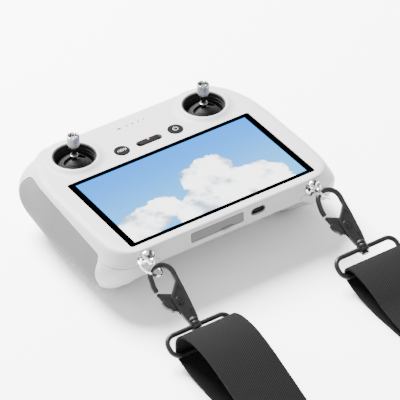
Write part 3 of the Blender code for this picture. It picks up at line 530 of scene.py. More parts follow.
for side, stick in STICKS.items():
    cutters.append(drum("well", STICK_HOLE, (stick.x, stick.y, FACE_CUT), 30, steps=96))
    cutters.append(drum("hole", BUTTON_HOLE, (*middle_of(BUTTONS[side]).xy, FACE_CUT), 20))
for k, x in enumerate(lights):
    cutters.append(slab("eye", (x, light_y, FACE_CUT), (2.6 if k == 0 else 1.15, 1.15, 12), 0.5))
carve(top_case, joined("cutters", *cutters))

bottom_case = hull("bottom_case", 0)
carve(bottom_case, slab("upper", (0, 0, (SEAM - 0.15 + 90) / 2), (240, 240, 90 - SEAM + 0.15)))
carve(bottom_case, band(0.3))
carve(bottom_case, hull("hollow", WALL, fine=False))
tray, grille, vent = (middle_of(node) for node in ("stick_tray", "speaker_grille", "vent_grille"))
cutters = [slab("tray_hole", (tray.x, tray.y, 20), (58.6, 20.6, 20)),
           slab("grille_hole", (grille.x, grille.y, 26), (34.6, 12.6, 12)),
           slab("vent_hole", (vent.x, vent.y, vent.z), (44.6, 20, 6.6), 1.5, "Y")]
for node in ("c1_button", "c2_button"):
    cutters.append(drum("hole", BACK_BUTTON_HOLE, (*middle_of(node).xy, 20), 20))
for node in ("record_button", "shutter_button"):
    cap = middle_of(node)
    cutters.append(slab("hole", (cap.x, cap.y, cap.z), (12.6, 20, 6.0), 2.9, "Y"))
for node in SCREWS:
    cutters.append(drum("hole", SCREW_HOLE, (*middle_of(node).xy, 24), 24))
for node in FEET:
    cutters.append(drum("recess", FOOT_HOLE, (*middle_of(node).xy, 0), 3.8))
for node in ("left_dial", "right_dial"):
    cutters.append(drum("dial_slot", DIAL_SLOT[0], middle_of(node), DIAL_SLOT[1]))
carve(bottom_case, joined("cutters", *cutters))

for shell in (top_case, bottom_case):
    for side in (-1, 1):
        pocket = hull("pocket", -3, fine=False)
        carve(pocket, pad_block("bounds", side, 0.3), "INTERSECT")
        carve(pocket, hull("floor", 1.5, fine=False))
        carve(shell, pocket)
finished(smooth(top_case, 40), white, "housing", "white_shell", "top_shell")
finished(smooth(bottom_case, 40), white, "housing", "white_shell", "bottom_shell")


# ---- Grip pads ---------------------------------------------------------------------------------
# A soft grey rubber skin is bonded into a shallow pocket on each side and rolls under the grip.
for side, word in SIDES:
    pad = hull(f"{word}_grip", 0.02)
    carve(pad, pad_block("bounds", side, 0.0), "INTERSECT")
    carve(pad, hull("inside", 1.3, fine=False))
    carve(pad, drum("dial_slot", DIAL_SLOT[0], middle_of(f"{word}_dial"), DIAL_SLOT[1]))
    finished(smooth(pad, 40), rubber, "housing", "grip_rubber", f"{word}_grip_pad")


# ---- Screen ------------------------------------------------------------------------------------
# A flat cover glass, black printed round its edge, is bonded into the window of the top shell. Its
# finish also draws the lit picture: a clear sky over cumulus, in round lobes that a noise breaks up.
LIT = (121.0, 67.3)
LOBES = ((16, -14, 13.5), (4, -19, 13), (24, -31, 12), (37, -32, 10.5), (47, -37, 7), (-2, -36, 13),
         (-16, -44, 12.5), (-29, -31, 11.5), (-40, -35, 12.5), (-52, -39, 13.5), (-60, -44, 15),
         (12, -40, 20), (36, -46, 16))
glass = Finish("screen", (0.0, 0.0, 0.0), 0.12, specular=0.0)
at = glass.where()
edge_noise = glass.noise(110, 9, 0.66) * 2 - 1
soft_noise = glass.noise(38, 5, 0.6) * 2 - 1
cloud = None
for x, y, radius in LOBES:
    spot = {0: at, 1: (x * MM, y * MM, TOP * MM)}
    gap = glass.node("ShaderNodeVectorMath", {"operation": "DISTANCE"}, spot, "Value")
    lobe = 1 - gap * (1 / (radius * MM))
    cloud = lobe if cloud is None else cloud.maths("SMOOTH_MAX", lobe, 0.12)
cloud = cloud + edge_noise * 0.55 + soft_noise * 0.16
cover = cloud.step(-0.03, 0.07)
across, along = glass.split(at)
height = (along * (1 / MM) - glass_middle.y + LIT[1] / 2) * (1 / LIT[1])
sky = glass.mix(height.step(0.1, 1.0), (0.060, 0.275, 0.56, 1), (0.012, 0.155, 0.52, 1))
lowered = glass.node("ShaderNodeVectorMath", {"operation": "ADD"}, {0: at, 1: (0, -0.004, 0)})
folds = glass.noise(52, 6, 0.6, lowered)
belly = glass.mix((folds + cloud * 0.2).step(0.38, 0.62), (0.26, 0.32, 0.42, 1), (0.97, 0.98, 1.0, 1))
picture = glass.mix(cover, sky, belly)
inside_x = 1 - across.maths("ABSOLUTE").step(LIT[0] / 2 * MM - 0.0002, LIT[0] / 2 * MM)
inside_y = 1 - (along - glass_middle.y * MM).maths("ABSOLUTE").step(LIT[1] / 2 * MM - 0.0002, LIT[1] / 2 * MM)
glass.give("Emission Color", glass.mix(inside_x * inside_y, (0, 0, 0, 1), picture))
glass.shader.inputs["Emission Strength"].default_value = 4.4
glass.uneven(60, 0.06, 0.07, 4)
screen = slab("cover_glass", glass_middle, glass_size, 1.4, "Z", 8, 0.25)
finished(smooth(screen), glass, "housing", "screen_glass", "screen_glass")


# ---- Sticks and their gimbals ------------------------------------------------------------------
# Each stick rises from a black domed yoke that rocks in a moulded bowl. The stem is turned aluminium
# with a bright waist collar, and screws into a knurled cap whose top is a crown of four prongs.
bowl_black = moulded("bowl_black", 0.014, 0.55, 3200, 0.00004, 0.12, 0.06)
satin = Finish("turned_aluminium", (0.20, 0.20, 0.205), 0.24, 1.0)
satin.uneven(700, 0.16, 0.2)
satin.bump(satin.noise(5200, 2), 0.25, 0.00003)
stem_metal = Finish("stem_aluminium", (0.06, 0.06, 0.062), 0.30, 1.0)
stem_metal.uneven(900, 0.2, 0.2)
for side, word in SIDES:
    stick = STICKS[side]
    x, y, pivot_z = stick
    wall = STICK_HOLE - 0.3
    profile = [(0.0, 25.2), (13.6, 25.2), (13.6, 29.2), (16.2, 29.2), (16.2, 41.6), (wall, 41.6),
               (wall, TOP + 1.3), (wall - 0.3, TOP + 1.4), (wall - 0.6, TOP + 1.3), (wall - 0.65, 43.0),
               (wall - 0.95, 42.8), (wall - 0.95, 42.3), (wall - 0.65, 42.1), (wall - 0.65, 40.8),
               (wall - 1.0, 40.6), (wall - 1.0, 40.1), (wall - 0.7, 39.9), (wall - 0.7, 37.4),
               (12.5, 36.0), (12.5, 26.2), (0.0, 26.2)]
    bowl = spun(f"{word}_gimbal_bowl", profile, (x, y, 0), steps=96)
    finished(bowl, bowl_black, "housing", "gimbal_plastic", f"{word}_gimbal_housing")

    dome = [(12.0 * math.sin(a), 12.0 * math.cos(a)) for a in (math.radians(d) for d in range(0, 91, 3))]
    ridged = []
    for radius, height in dome:
        ridged.append((radius, height))
        if 5.4 < radius < 11.2 and len(ridged) % 4 == 0:
            ridged += [(radius + 0.08, height - 0.42), (radius + 0.5, height - 0.55)]
    inner = [(10.9 * math.sin(a), 10.9 * math.cos(a)) for a in (math.radians(d) for d in range(90, -1, -6))]
    yoke = spun(f"{word}_yoke_dome", ridged + inner, (x, y, pivot_z), steps=96)
    carve(yoke, slab("slot", (x, y, pivot_z + 13), (15.0, 4.6, 14), 2.25))
    finished(smooth(yoke, 30), bowl_black, f"{word}_yoke", "gimbal_plastic", f"{word}_gimbal_yoke")

    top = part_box(f"{word}_stick_knob")[1].z / MM
    profile = closed([(1.5, pivot_z + 4), (1.5, TOP + 0.6), (1.7, TOP + 0.9), (2.45, TOP + 2.2),
                      (2.5, TOP + 2.6), (2.3, TOP + 2.9), (1.45, TOP + 3.6), (1.35, top - 9.5),
                      (1.45, top - 9.2), (1.45, top - 2.6)])
    stem = spun(f"{word}_stick_stem", profile, (x, y, 0), steps=40)
    finished(stem, stem_metal, f"{word}_stick", "stick_aluminium", f"{word}_stick_shaft")
    profile = [(1.55, TOP + 1.5), (2.5, TOP + 2.35), (2.6, TOP + 2.6), (2.5, TOP + 2.85), (1.6, TOP + 3.3)]
    collar = spun(f"{word}_stick_collar", [*profile, profile[0]], (x, y, 0), steps=40)
    finished(collar, satin, f"{word}_stick", "stick_aluminium")

    low = top - 8.8
    profile = [(1.6, low), (2.5, low), (3.0, low + 0.35), (3.25, low + 0.8), (3.25, low + 1.4),
               (3.05, low + 1.6), (3.05, low + 1.9), (3.6, low + 2.15), (3.85, low + 2.5),
               (3.85, top - 2.4), (3.65, top - 2.2), (3.65, top - 2.0), (3.85, top - 1.8),
               (3.8, top - 0.5), (3.55, top - 0.1), (3.2, top), (2.6, top - 0.1), (2.3, top - 0.6),
               (2.1, top - 1.6), (0.0, top - 1.6), (0.0, top - 2.0), (1.6, top - 2.0), (1.6, low)]
    knob = spun(f"{word}_thumb_cap", profile, (x, y, 0), steps=72)
    for turn in (45, 135):
        notch = slab("notch", (0, 0, 0), (12, 1.15, 2.6))
        spin = Matrix.Rotation(math.radians(turn), 4, "Z")
        notch.data.transform(Matrix.Translation(Vector((x, y, top)) * MM) @ spin)
        carve(knob, notch)
    grooves = []
    for k in range(30):
        turn = 2 * math.pi * k / 30
        place = (x + 3.92 * math.cos(turn), y + 3.92 * math.sin(turn), top - 4.35)
        grooves.append(drum("groove", 0.2, place, 3.6, steps=6))
    carve(knob, joined("grooves", *grooves))
    finished(smooth(knob, 30), satin, f"{word}_stick", "stick_aluminium", f"{word}_stick_knob")


# ---- Buttons and slider on the face ------------------------------------------------------------
# Two black domed buttons with printed marks, and a mode slider that runs in an oval slot between
# them. The marks are thin inlays: a small ring and upright strokes on the left, a power sign on the
# right, and an orange dot on the slider.
mark_white = Finish("mark_ink", (0.26, 0.26, 0.26)).uneven(900, 0.2, 0.4)
mark_rose = Finish("mark_rose", (0.24, 0.15, 0.15)).uneven(900, 0.2, 0.4)
orange = Finish("orange_ink", (0.55, 0.16, 0.03)).uneven(900, 0.2, 0.4)
button_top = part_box("power_button")[1].z / MM
for side, node in BUTTONS.items():
    x, y, _ = middle_of(node)
    profile = closed([(5.3, 40.0), (5.3, 41.5), (4.72, 41.5), (4.72, button_top - 0.35),
                      (4.55, button_top - 0.12), (4.2, button_top - 0.02), (3.6, button_top - 0.06),
                      (2.0, button_top - 0.14)])
    cap = spun(f"{node}_cap", profile, (x, y, 0))
    finished(cap, charcoal, node, "dark_plastic", node)
face = button_top - 0.08
INLAY = 0.1


def arc_mark(name, middle, radius, start, end, width, body):
    """A flat curved stroke, printed just proud of a button."""
    steps = 28
    mesh = bpy.data.meshes.new(name)
    points = []
    for k in range(steps + 1):
        a = math.radians(start + (end - start) * k / steps)
        for r in (radius - width / 2, radius + width / 2):
            points.append(Vector((middle[0] + r * math.cos(a), middle[1] + r * math.sin(a), face)) * MM)
    mesh.from_pydata(points, [], [(2 * k, 2 * k + 1, 2 * k + 3, 2 * k + 2) for k in range(steps)])
    stroke = thickened(tidy_faces(placed(name, mesh)), INLAY)
    return finished(stroke, mark_white, body, "dark_plastic")


def bar_mark(name, middle, size, body, finish=mark_white):
    stroke = slab(name, (*middle, face), (*size, INLAY), min(size) * 0.3, "Z", 3)
    return finished(stroke, finish, body, "dark_plastic")


x, y, _ = middle_of("power_button")
arc_mark("power_ring", (x, y), 1.6, 118, 422, 0.38, "power_button")
bar_mark("power_stroke", (x, y + 1.45), (0.4, 1.7), "power_button")
x, y, _ = middle_of("return_button")
for k, offset in enumerate((-1.5, 1.9)):
    bar_mark(f"pause_stroke_{k + 1}", (x + offset, y), (0.45, 2.3), "return_button", mark_rose)
arc_mark("home_arc", (x, y), 0.9, 0, 360, 0.34, "return_button")
bar_mark("home_bar", (x + 2.9, y), (0.4, 1.5), "return_button")
bar_mark("home_post", (x - 2.7, y), (0.4, 1.5), "return_button")

slot_middle = middle_of("mode_slider")
slider = slab("mode_slider_cap", (slot_middle.x, slot_middle.y, 42.8), (14.0, 4.98, 3.7), 2.45, "Z", 12, 0.5)
flange = slab("mode_slider_flange", (slot_middle.x, slot_middle.y, 40.4), (23.0, 7.8, 0.7), 0.8, "Z", 4)
finished(smooth(slider), charcoal, "mode_slider", "dark_plastic", "mode_slider")
finished(flange, charcoal, "mode_slider", "dark_plastic")
dot_place = (slot_middle.x, slot_middle.y + 1.3, 44.64)
dot = spun("mode_mark", closed([(0.7, -0.1), (0.7, 0.04)]), dot_place, steps=24)
finished(dot, orange, "mode_slider", "dark_plastic")


# ---- Shoulder buttons, dials and back buttons --------------------------------------------------
# Two oval buttons face away from the pilot, a ribbed dial stands out of a slot at each far corner,
# and two round buttons sit under the fingertips on the underside.
for node in ("record_button", "shutter_button"):
    cap = middle_of(node)
    oval = slab(f"{node}_cap", (cap.x, 62.0 + SHIFT - 2.2, cap.z), (12.0, 5.4 + 0.3, 5.4), 2.65, "Y", 12, 0.5)
    finished(smooth(oval), black, node, "dark_plastic", node)
for side, word in SIDES:
    hub = middle_of(f"{word}_dial")
    low, high = hub.z - 2.7 - 0.6, hub.z + 2.7 - 0.6
    profile = closed([(1.2, low - 0.3), (1.2, low), (6.6, low), (7.2, low + 0.2), (7.45, low + 0.7),
                      (7.45, high - 0.7), (7.2, high - 0.2), (6.6, high), (1.2, high), (1.2, high + 1.6)])
    wheel = spun(f"{word}_dial_wheel", profile, (hub.x, hub.y, 0), steps=96)
    ribs = []
    for k in range(36):
        turn = 2 * math.pi * k / 36
        place = (hub.x + 7.6 * math.cos(turn), hub.y + 7.6 * math.sin(turn), (low + high) / 2)
        ribs.append(drum("rib", 0.28, place, 6.5, steps=6))
    carve(wheel, joined("ribs", *ribs))
    finished(smooth(wheel, 30), black, f"{word}_dial", "dark_plastic", f"{word}_dial")
for node in ("c1_button", "c2_button"):
    hub, low = middle_of(node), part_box(node)[0].z / MM
    profile = closed([(3.4, low), (4.1, low + 0.1), (4.4, low + 0.4), (4.5, low + 0.9), (4.5, low + 3.3),
                      (5.6, low + 3.3), (5.6, low + 4.4)])
    finished(spun(f"{node}_cap", profile, (hub.x, hub.y, 0)), black, node, "dark_plastic", node)


# ---- Port cover and charging port --------------------------------------------------------------
# A grey rubber flap covers the card slot, with a pull slit near its right end. Beside it an oval
# steel port is set in a thin moulded surround, with its contact tongue inside.
cover = slab("port_flap", flap_middle, flap_size, 0.9, "Y", 6, 0.3)
pull_x = flap_middle.x + 6.5
slit_place = (pull_x, flap_middle.y - 0.75, flap_middle.z - 2.35)
carve(cover, slab("pull_slit", slit_place, (8.6, 1.0, 0.8), 0.35, "Y", 4))
flap_rubber = moulded("flap_rubber", 0.10, 0.66, 3000, 0.00006, 0.05)
finished(smooth(cover), flap_rubber, "port_cover", "port_rubber", "port_cover")
tab_place = (pull_x, near_face - 0.12, flap_middle.z - 5.0)
tab = slab("pull_tab", tab_place, (5.0, 0.7, 1.7), 0.6, "Y", 5, 0.2)
finished(smooth(tab), white, "housing", "white_shell")
steel = Finish("port_steel", (0.06, 0.06, 0.062), 0.34, 1.0).uneven(800, 0.2, 0.24)


def in_port(deep):
    return (port_middle.x, near_face + deep, port_middle.z)


shell = slab("port_shell", in_port(3.5), (9.4, 6.4, 4.0), 1.99, "Y", 12, 0.15)
carve(shell, slab("mouth", in_port(2.0), (8.5, 6.4, 3.1), 1.54, "Y", 12))
finished(smooth(shell), steel, "housing", "port_steel", "charge_port")
tongue = slab("port_tongue", in_port(3.2), (6.6, 5.2, 0.7), 0.2, "Z", 3, 0.1)
finished(tongue, black, "housing", "port_steel")
surround = slab("port_surround", in_port(0.02), (15.6, 0.3, 6.9), 2.0, "Y", 8, 0.1)
carve(surround, slab("opening", in_port(0.0), (10.6, 4, 5.2), 2.59, "Y", 10))
finished(smooth(surround), white, "housing", "white_shell")


# ---- Strap posts and split rings ---------------------------------------------------------------
# Polished chrome: each post is a domed flange with a ball eye, and a split ring of two coils of
# round wire hangs in the eye.
chrome = Finish("chrome", (0.80, 0.80, 0.82), 0.06, 1.0).uneven(500, 0.07, 0.04, 4)
# Painted reflection: a noise paints dark patches into the chrome's colour, in place of the dark things round
# it that real chrome would mirror.
painted_reflection = chrome.noise(240, 1.0, 0.5).step(0.38, 0.50)
chrome.give("Base Color", chrome.mix(painted_reflection, tint(0.05), tint(0.80)))


def wire(name, path, radius, ring=False, steps=3):
    """A round wire along a path of points in millimetres, as a closed tube."""
    line = bpy.data.curves.new(name, "CURVE")
    line.dimensions = "3D"
    line.bevel_depth = radius * MM
    line.bevel_resolution = steps
    line.use_fill_caps = True
    spline = line.splines.new("POLY")
    spline.points.add(len(path) - 1)
    for point, place in zip(spline.points, path):
        point.co = (*(Vector(place) * MM), 1)
    spline.use_cyclic_u = ring
    only(placed(name, line))
    bpy.ops.object.convert(target="MESH")
    return smooth(tidy_faces(bpy.context.object, 0.0001), 50)


RING_RADIUS = 8.2
LIE = {-1: (-38.8, 15.2, -34.4), 1: (-32.0, 32.8, -34.6)}
for side, word in SIDES:
    eye = Vector(joints[f"{word}_ring_swing"]["pos_m"]) / MM
    turn, lift, twist = (math.radians(angle) for angle in LIE[side])
    out = Vector((math.sin(turn) * math.cos(lift), -math.cos(turn) * math.cos(lift), math.sin(lift)))
    flat = Vector((0, 0, 1)).cross(out).normalized()
    run = math.cos(twist) * flat + math.sin(twist) * out.cross(flat)
    centre = eye + RING_RADIUS * out
    normal = out.cross(run)
    path = []
    for k in range(145):
        a = 4 * math.pi * k / 144
        offset = 0.42 * math.sin(a / 4 + math.pi / 2)
        path.append(centre + RING_RADIUS * (math.cos(a) * out + math.sin(a) * run) + offset * normal)
    coil = wire(f"{word}_ring_wire", path, 0.55)
    finished(coil, chrome, f"{word}_ring", "strap_chrome", f"{word}_split_ring")
    post = Vector((side * 58.5, near_face, 37.6))
    profile = closed([(5.1, -0.25), (5.35, 0.15), (5.3, 0.75), (4.9, 1.15), (3.9, 1.5), (2.4, 1.85),
                      (1.7, 2.4)])
    flange = spun("flange", profile, post, (0, -1, 0), 64)
    profile = [(1.25, -0.5), (1.45, -0.9), (1.8, -1.1), (2.2, -1.0), (2.55, -0.6), (2.65, 0), (2.55, 0.6),
               (2.2, 1.0), (1.8, 1.1), (1.45, 0.9), (1.25, 0.5)]
    ball = spun("ball", [*profile, profile[0]], eye, run, 64)
    to_wall = (Vector((0, 1, 0)) - run.y * run).normalized()
    neck = wire("neck", [post + Vector((0, 1, 0)), post + Vector((0, -1.2, 0)), eye + 2.1 * to_wall], 1.35)
    finished(joined(f"{word}_post_chrome", flange, ball, neck), chrome, "housing", "strap_chrome",
             f"{word}_strap_post")


# ---- Snap hooks and gates ----------------------------------------------------------------------
# Die-cast gunmetal: a round bow runs into a flat plate with a raised right edge. A sprung gate turns
# on a ringed rivet in a slot of the plate, and its thumb lever has three ridges.
gunmetal = Finish("gunmetal", (0.012, 0.011, 0.011), 0.32, 0.4, 0.3)
wear = gunmetal.noise(420, 5, 0.6)
gunmetal.give("Base Color", gunmetal.mix(wear, tint(0.006), tint(0.016)))
gunmetal.give("Roughness", wear * 0.2 + 0.22)
gunmetal.bump(gunmetal.noise(2400, 3), 0.3, 0.00005)
HOOK_ALONG = Vector((0.044, 0.838, 0.545)).normalized()
HOOK_ACROSS = Vector((0.998, -0.056, 0.004))
HOOK_ACROSS = (HOOK_ACROSS - HOOK_ACROSS.dot(HOOK_ALONG) * HOOK_ALONG).normalized()
HOOK_OUT = HOOK_ACROSS.cross(HOOK_ALONG)
RIVET = (-2.6, 17.0)
BOW = [(-12.6, 26.45), (-12.9, 30.0), (-12.3, 34.3)]
BOW += [(-5 + 7.2 * math.cos(math.radians(d)), 34.3 + 7.2 * math.sin(math.radians(d)))
        for d in range(165, -1, -11)]
BOW += [(2.3, 28.0), (2.35, 22.0), (2.2, 16.0), (1.6, 10.0)]
PLATE = [(-3.4, 3.2), (3.2, 3.2), (3.6, 9.0), (3.7, 24.0), (2.6, 33.0), (0.6, 29.0), (-3.0, 24.4),
         (-6.6, 20.6), (-6.0, 13.0)]
POCKET = [(-2.6, 5.4), (1.2, 5.4), (1.5, 10.0), (1.6, 22.0), (0.6, 26.0), (-2.2, 23.0), (-4.9, 19.8),
          (-4.4, 13.6)]
SLOT = [(-14.3, 9.4), (-4.0, 9.4), (0.2, 15.5), (0.4, 24.8), (-6, 26), (-8.4, 29.4), (-10.5, 28.2),
        (-12.3, 26.7), (-13.8, 24.9), (-14.3, 24.0)]
GATE = [(-4.6, 12.4), (-1.0, 15.4), (-0.9, 18.4), (-5.6, 22.8), (-12.6, 25.7), (-13.6, 24.6), (-12.8, 22.8),
        (-12.2, 20.2), (-11.2, 17.0), (-9.6, 16.2), (-9.0, 13.6), (-7.4, 12.6), (-6.6, 11.2)]
THUMB = [(-12.5, 17.5), (-12.1, 20.1), (-10.5, 20.1), (-7.4, 14.6), (-7.4, 11.7), (-8.6, 12.0), (-9.6, 14.0),
         (-11.2, 15.2)]


def on_hook(origin, u, v, w=0.0):
    """A point in the hook's own axes: across, along and out of its plate."""
    return origin + u * HOOK_ACROSS + v * HOOK_ALONG + w * HOOK_OUT


def prism(name, outline, low, high, origin, edge=0.0):
    """A plate cut to an outline in the hook's own axes, its rims bevelled."""
    count = len(outline)
    points = [on_hook(origin, u, v, w) for w in (low, high) for u, v in outline]
    faces = [tuple(reversed(range(count))), tuple(range(count, 2 * count))]
    faces += [(k, (k + 1) % count, count + (k + 1) % count, count + k) for k in range(count)]
    obj = tidy_faces(link_mesh(name, [p - Vector((0, SHIFT, 0)) for p in points], faces))
    return bevelled(obj, edge)


for side, word in SIDES:
    origin = Vector(joints[f"{word}_hook_swivel"]["pos_m"]) / MM
    pivot = on_hook(origin, *RIVET)
    hook = prism(f"{word}_hook_plate", PLATE, -1.5, 1.5, origin, 0.45)
    for low, high in ((1.05, 3), (-3, -1.05)):
        carve(hook, prism("pocket", POCKET, low, high, origin))
    bow = wire("bow", [on_hook(origin, u, v) for u, v in BOW], 1.6, steps=5)
    carve(hook, bow, "UNION")
    shank = [(2.2, -3.9), (2.4, -3.7), (2.4, -2.9), (2.2, -2.7), (1.5, -2.6), (1.5, 4.2)]
    neck = [(3.0, 2.5), (3.35, 2.8), (3.35, 3.7), (3.0, 4.1), (2.2, 5.0)]
    for name, profile in (("shank", shank), ("neck", neck)):
        carve(hook, spun(name, closed(profile), origin, HOOK_ALONG, 32), "UNION")
    carve(hook, prism("slot", SLOT, -0.9, 0.9, origin))
    rivet = closed([(0.7, -1.0), (0.7, 1.0)])
    carve(hook, spun("pin", rivet, pivot, HOOK_OUT, 24), "UNION")
    finished(smooth(hook, 40), gunmetal, f"{word}_hook", "hook_metal", f"{word}_snap_hook")
    for level, name in ((1, "front"), (-1, "back")):
        profile = [(0.0, 0.9), (2.35, 0.9), (2.35, 1.5), (2.1, 1.75), (1.7, 1.75), (1.5, 1.5), (1.25, 1.5),
                   (1.05, 1.8), (0.6, 1.9), (0.0, 1.95)]
        head = spun(f"{word}_rivet_{name}", profile, pivot, level * HOOK_OUT, 32)
        finished(head, gunmetal, f"{word}_hook", "hook_metal")

    gate = prism(f"{word}_gate_plate", GATE, -0.6, 0.6, origin, 0.15)
    thumb = prism("thumb", THUMB, -1.5, 1.5, origin, 0.3)
    carve(gate, thumb, "UNION")
    carve(gate, drum("hole", 1.0, pivot, 8, HOOK_OUT, 24))
    for u, v in ((-12.35, 19.2), (-11.95, 17.6), (-10.9, 15.9), (-9.75, 14.4), (-9.0, 12.8)):
        carve(gate, drum("ridge", 0.42, on_hook(origin, u, v), 2.6, HOOK_OUT, 12), "UNION")
    finished(smooth(gate, 40), gunmetal, f"{word}_gate", "hook_metal", f"{word}_hook_gate")


# ---- Strap loops -------------------------------------------------------------------------------
# Each snap hook turns in a stepped collar on a rectangular loop of round wire, and the webbing goes
# round the loop's lower bar.
LOOP_DOWN = Vector((0, -0.838, -0.545)).normalized()
WEB_HALF = 18.5
bars = {}
for side, word in SIDES:
    origin = Vector(joints[f"{word}_hook_swivel"]["pos_m"]) / MM
    path = []
    for turn, u, v in ((0, 16.0, 7.5), (90, -16.0, 7.5), (180, -16.0, 5.5), (270, 16.0, 5.5)):
        for k in range(9):
            a = math.radians(turn + 90 * k / 8)
            path.append(origin + Vector((u + 5.5 * math.cos(a), 0, 0)) + (v + 5.5 * math.sin(a)) * LOOP_DOWN)
    loop = wire(f"{word}_loop_wire", path, 1.5, True, 5)
    profile = closed([(2.6, -2.3), (3.2, -2.2), (3.4, -1.9), (3.4, -0.5), (3.15, -0.35), (3.15, 0.35),
                      (3.4, 0.5), (3.4, 1.9), (3.2, 2.2), (2.6, 2.3)])
    carve(loop, spun("collar", profile, origin, HOOK_ALONG, 40), "UNION")
    carve(loop, drum("bore", 1.8, origin, 12, HOOK_ALONG, 32))
    finished(smooth(loop, 40), gunmetal, "housing", "hook_metal", f"{word}_strap_loop")
    bars[side] = origin + 13.0 * LOOP_DOWN


# ---- Webbing -----------------------------------------------------------------------------------
# One length of woven ribbon. Its left tail goes round the bar of the left loop and back, lies on the
# table to a folded corner, runs through the flat zigzag bundle, and ends the same way on the right.
FLAT_Z = 0.95
UPPER_Z = 2.4
FOLD_Y = -258.0 + SHIFT
PITCH = 2.1
SIDE_RUN = {
    -1: ((-64, None), (-54, None), (-42, None), (-33, -8.4), (-26, -7.6), (-14, -6.4), (-6, -4.6), (-1, -3.0),
         (2.2, -1.6), (3.4, 1.4), (3.3, 6.0), (2.2, 10.4), (-0.8, 14.6), (-5.6, 17.6), (-12, 19.4),
         (-20, 19.9),
         (-29, 18.8), (-40, 15.6), (-52, 11), (-66, 5.4), (-80, -0.6), (-92, -5), (-104, -7.9), (-112, None)),
    1: ((-66, None), (-54, None), (-40, None), (-32, -10.2), (-26, -9), (-14, -7.6), (-6, -5.6), (-1, -3.6),
        (2.2, -1.9), (3.4, 0.9), (2.9, 3.9), (0.8, 6.2), (-3.4, 7.5), (-9, 7.6), (-17, 6.2), (-26, 3.4),
        (-36, -0.6), (-48, -3.6), (-62, -5.9), (-78, -7.8), (-92, -9), (-104, None)),
}


def flowing(knots, samples):
    """A smooth curve through the knots."""
    path = [Vector(knots[0])]
    for k in range(len(knots) - 1):
        a, b, c, d = (Vector(knots[min(max(k + i, 0), len(knots) - 1)]) for i in (-1, 0, 1, 2))
        for s in range(1, samples + 1):
            path.append(spline_point(a, b, c, d, s / samples))
    return path


def side_rows(side):
    """Rows from a tail, round the bar, to the corner fold: each is the ribbon's outer and inner edge."""
    bar = bars[side]
    outer, inner = bar.x + side * WEB_HALF, bar.x - side * WEB_HALF
    knots = [(bar.y + y, FLAT_Z if z is None else bar.z + z) for y, z in SIDE_RUN[side]]
    run = [(y, max(z, FLAT_Z)) for y, z in flowing(knots, 5)]
    rows = [(Vector((outer, y, z)), Vector((inner, y, z))) for y, z in run]
    start = knots[-1][0] - 8
    for k in range(13):
        share = k / 12
        rows.append((Vector((outer, start + (FOLD_Y + WEB_HALF - start) * share, FLAT_Z)),
                     Vector((inner, start + (FOLD_Y - WEB_HALF - start) * share, FLAT_Z))))
    away = Vector((side, -1, 0)).normalized()
    for turn in range(-60, 61, 30):
        a = math.radians(turn)
        bulge = away * 0.72 * math.cos(a) + Vector((0, 0, 0.72 * math.sin(a) + (FLAT_Z + UPPER_Z) / 2))
        rows.append((Vector((outer, FOLD_Y + WEB_HALF, 0)) + bulge,
                     Vector((inner, FOLD_Y - WEB_HALF, 0)) + bulge))
    far, near, end = FOLD_Y + WEB_HALF, FOLD_Y - WEB_HALF, inner - side * 2
    for k in range(13):
        share = k / 12
        rows.append((Vector((outer + (end - outer) * share, far, UPPER_Z)),
                     Vector((inner + (end - inner) * share, near, UPPER_Z))))
    return rows


def bundle_path():
    """The zigzag seen from the near side, as (x, z), from the left strip to the right one."""
    path = [(-30, UPPER_Z), (-16, UPPER_Z), (-5.0, UPPER_Z)]
    levels = [UPPER_Z + PITCH * k for k in range(7)]

    def turn(x, low, high, way, up):
        middle, radius = (low + high) / 2, (high - low) / 2
        angles = range(-60, 61, 30) if up else range(60, -61, -30)
        return [(x + way * radius * 1.3 * math.cos(math.radians(a)),
                 middle + radius * math.sin(math.radians(a))) for a in angles]

    path += turn(-4.5, levels[0], levels[1], 1, True)
    path += [(-8, levels[1]), (-30, levels[1]), (-49, levels[1]), (-52.5, levels[1] + 0.4),
             (-54.4, levels[1] + 2.2), (-54.9, levels[3]), (-54.5, levels[5]),
             (-52.8, levels[6] - 0.4), (-49, levels[6])]
    way = 1
    for k in range(6, 1, -1):
        path += [(way * -30, levels[k]), (0, levels[k]), (way * 30, levels[k]), (way * 49, levels[k])]
        path += turn(way * 50, levels[k - 1], levels[k], way, False)
        path.append((way * 49, levels[k - 1]))
        way = -way
    path += [(30, levels[1]), (8, levels[1])]
    path += turn(4.5, levels[0], levels[1], -1, False)
    return path + [(5.0, UPPER_Z), (16, UPPER_Z), (36, UPPER_Z)]


rows = side_rows(-1)
rows += [(Vector((x, FOLD_Y + WEB_HALF, z)), Vector((x, FOLD_Y - WEB_HALF, z)))
         for x, z in flowing(bundle_path(), 2)]
rows += list(reversed(side_rows(1)))
columns = 6
points = [(a.lerp(b, c / columns) - Vector((0, SHIFT, 0))) for a, b in rows for c in range(columns + 1)]
faces = []
for first in range(0, (len(rows) - 1) * (columns + 1), columns + 1):
    second = first + columns + 1
    faces += [(first + c, first + c + 1, second + c + 1, second + c) for c in range(columns)]
webbing = link_mesh("strap_webbing", points, faces)
lengths = [(0.0, 0.0)]
for (a, b), (c, d) in zip(rows, rows[1:]):
    lengths.append((lengths[-1][0] + (c - a).length, lengths[-1][1] + (d - b).length))
layer = webbing.data.uv_layers.new(name="weave")
for corner in webbing.data.loops:
    row, column = divmod(corner.vertex_index, columns + 1)
    share = column / columns
    run = lengths[row][0] * (1 - share) + lengths[row][1] * share
    layer.data[corner.index].uv = (share * 2 * WEB_HALF, run)
thickened(webbing, 1.4)
cloth = Finish("webbing", (0.012, 0.012, 0.012), 0.82, specular=0.02)
u, v = cloth.split(cloth.where("UV"))
RIB_PITCH, CORD_PITCH, TWILL_PITCH = 1.0, 1.3, 2.0
ribs = (v * (2 * math.pi / RIB_PITCH)).maths("SINE")
cords = (u * (2 * math.pi / CORD_PITCH)).maths("SINE")
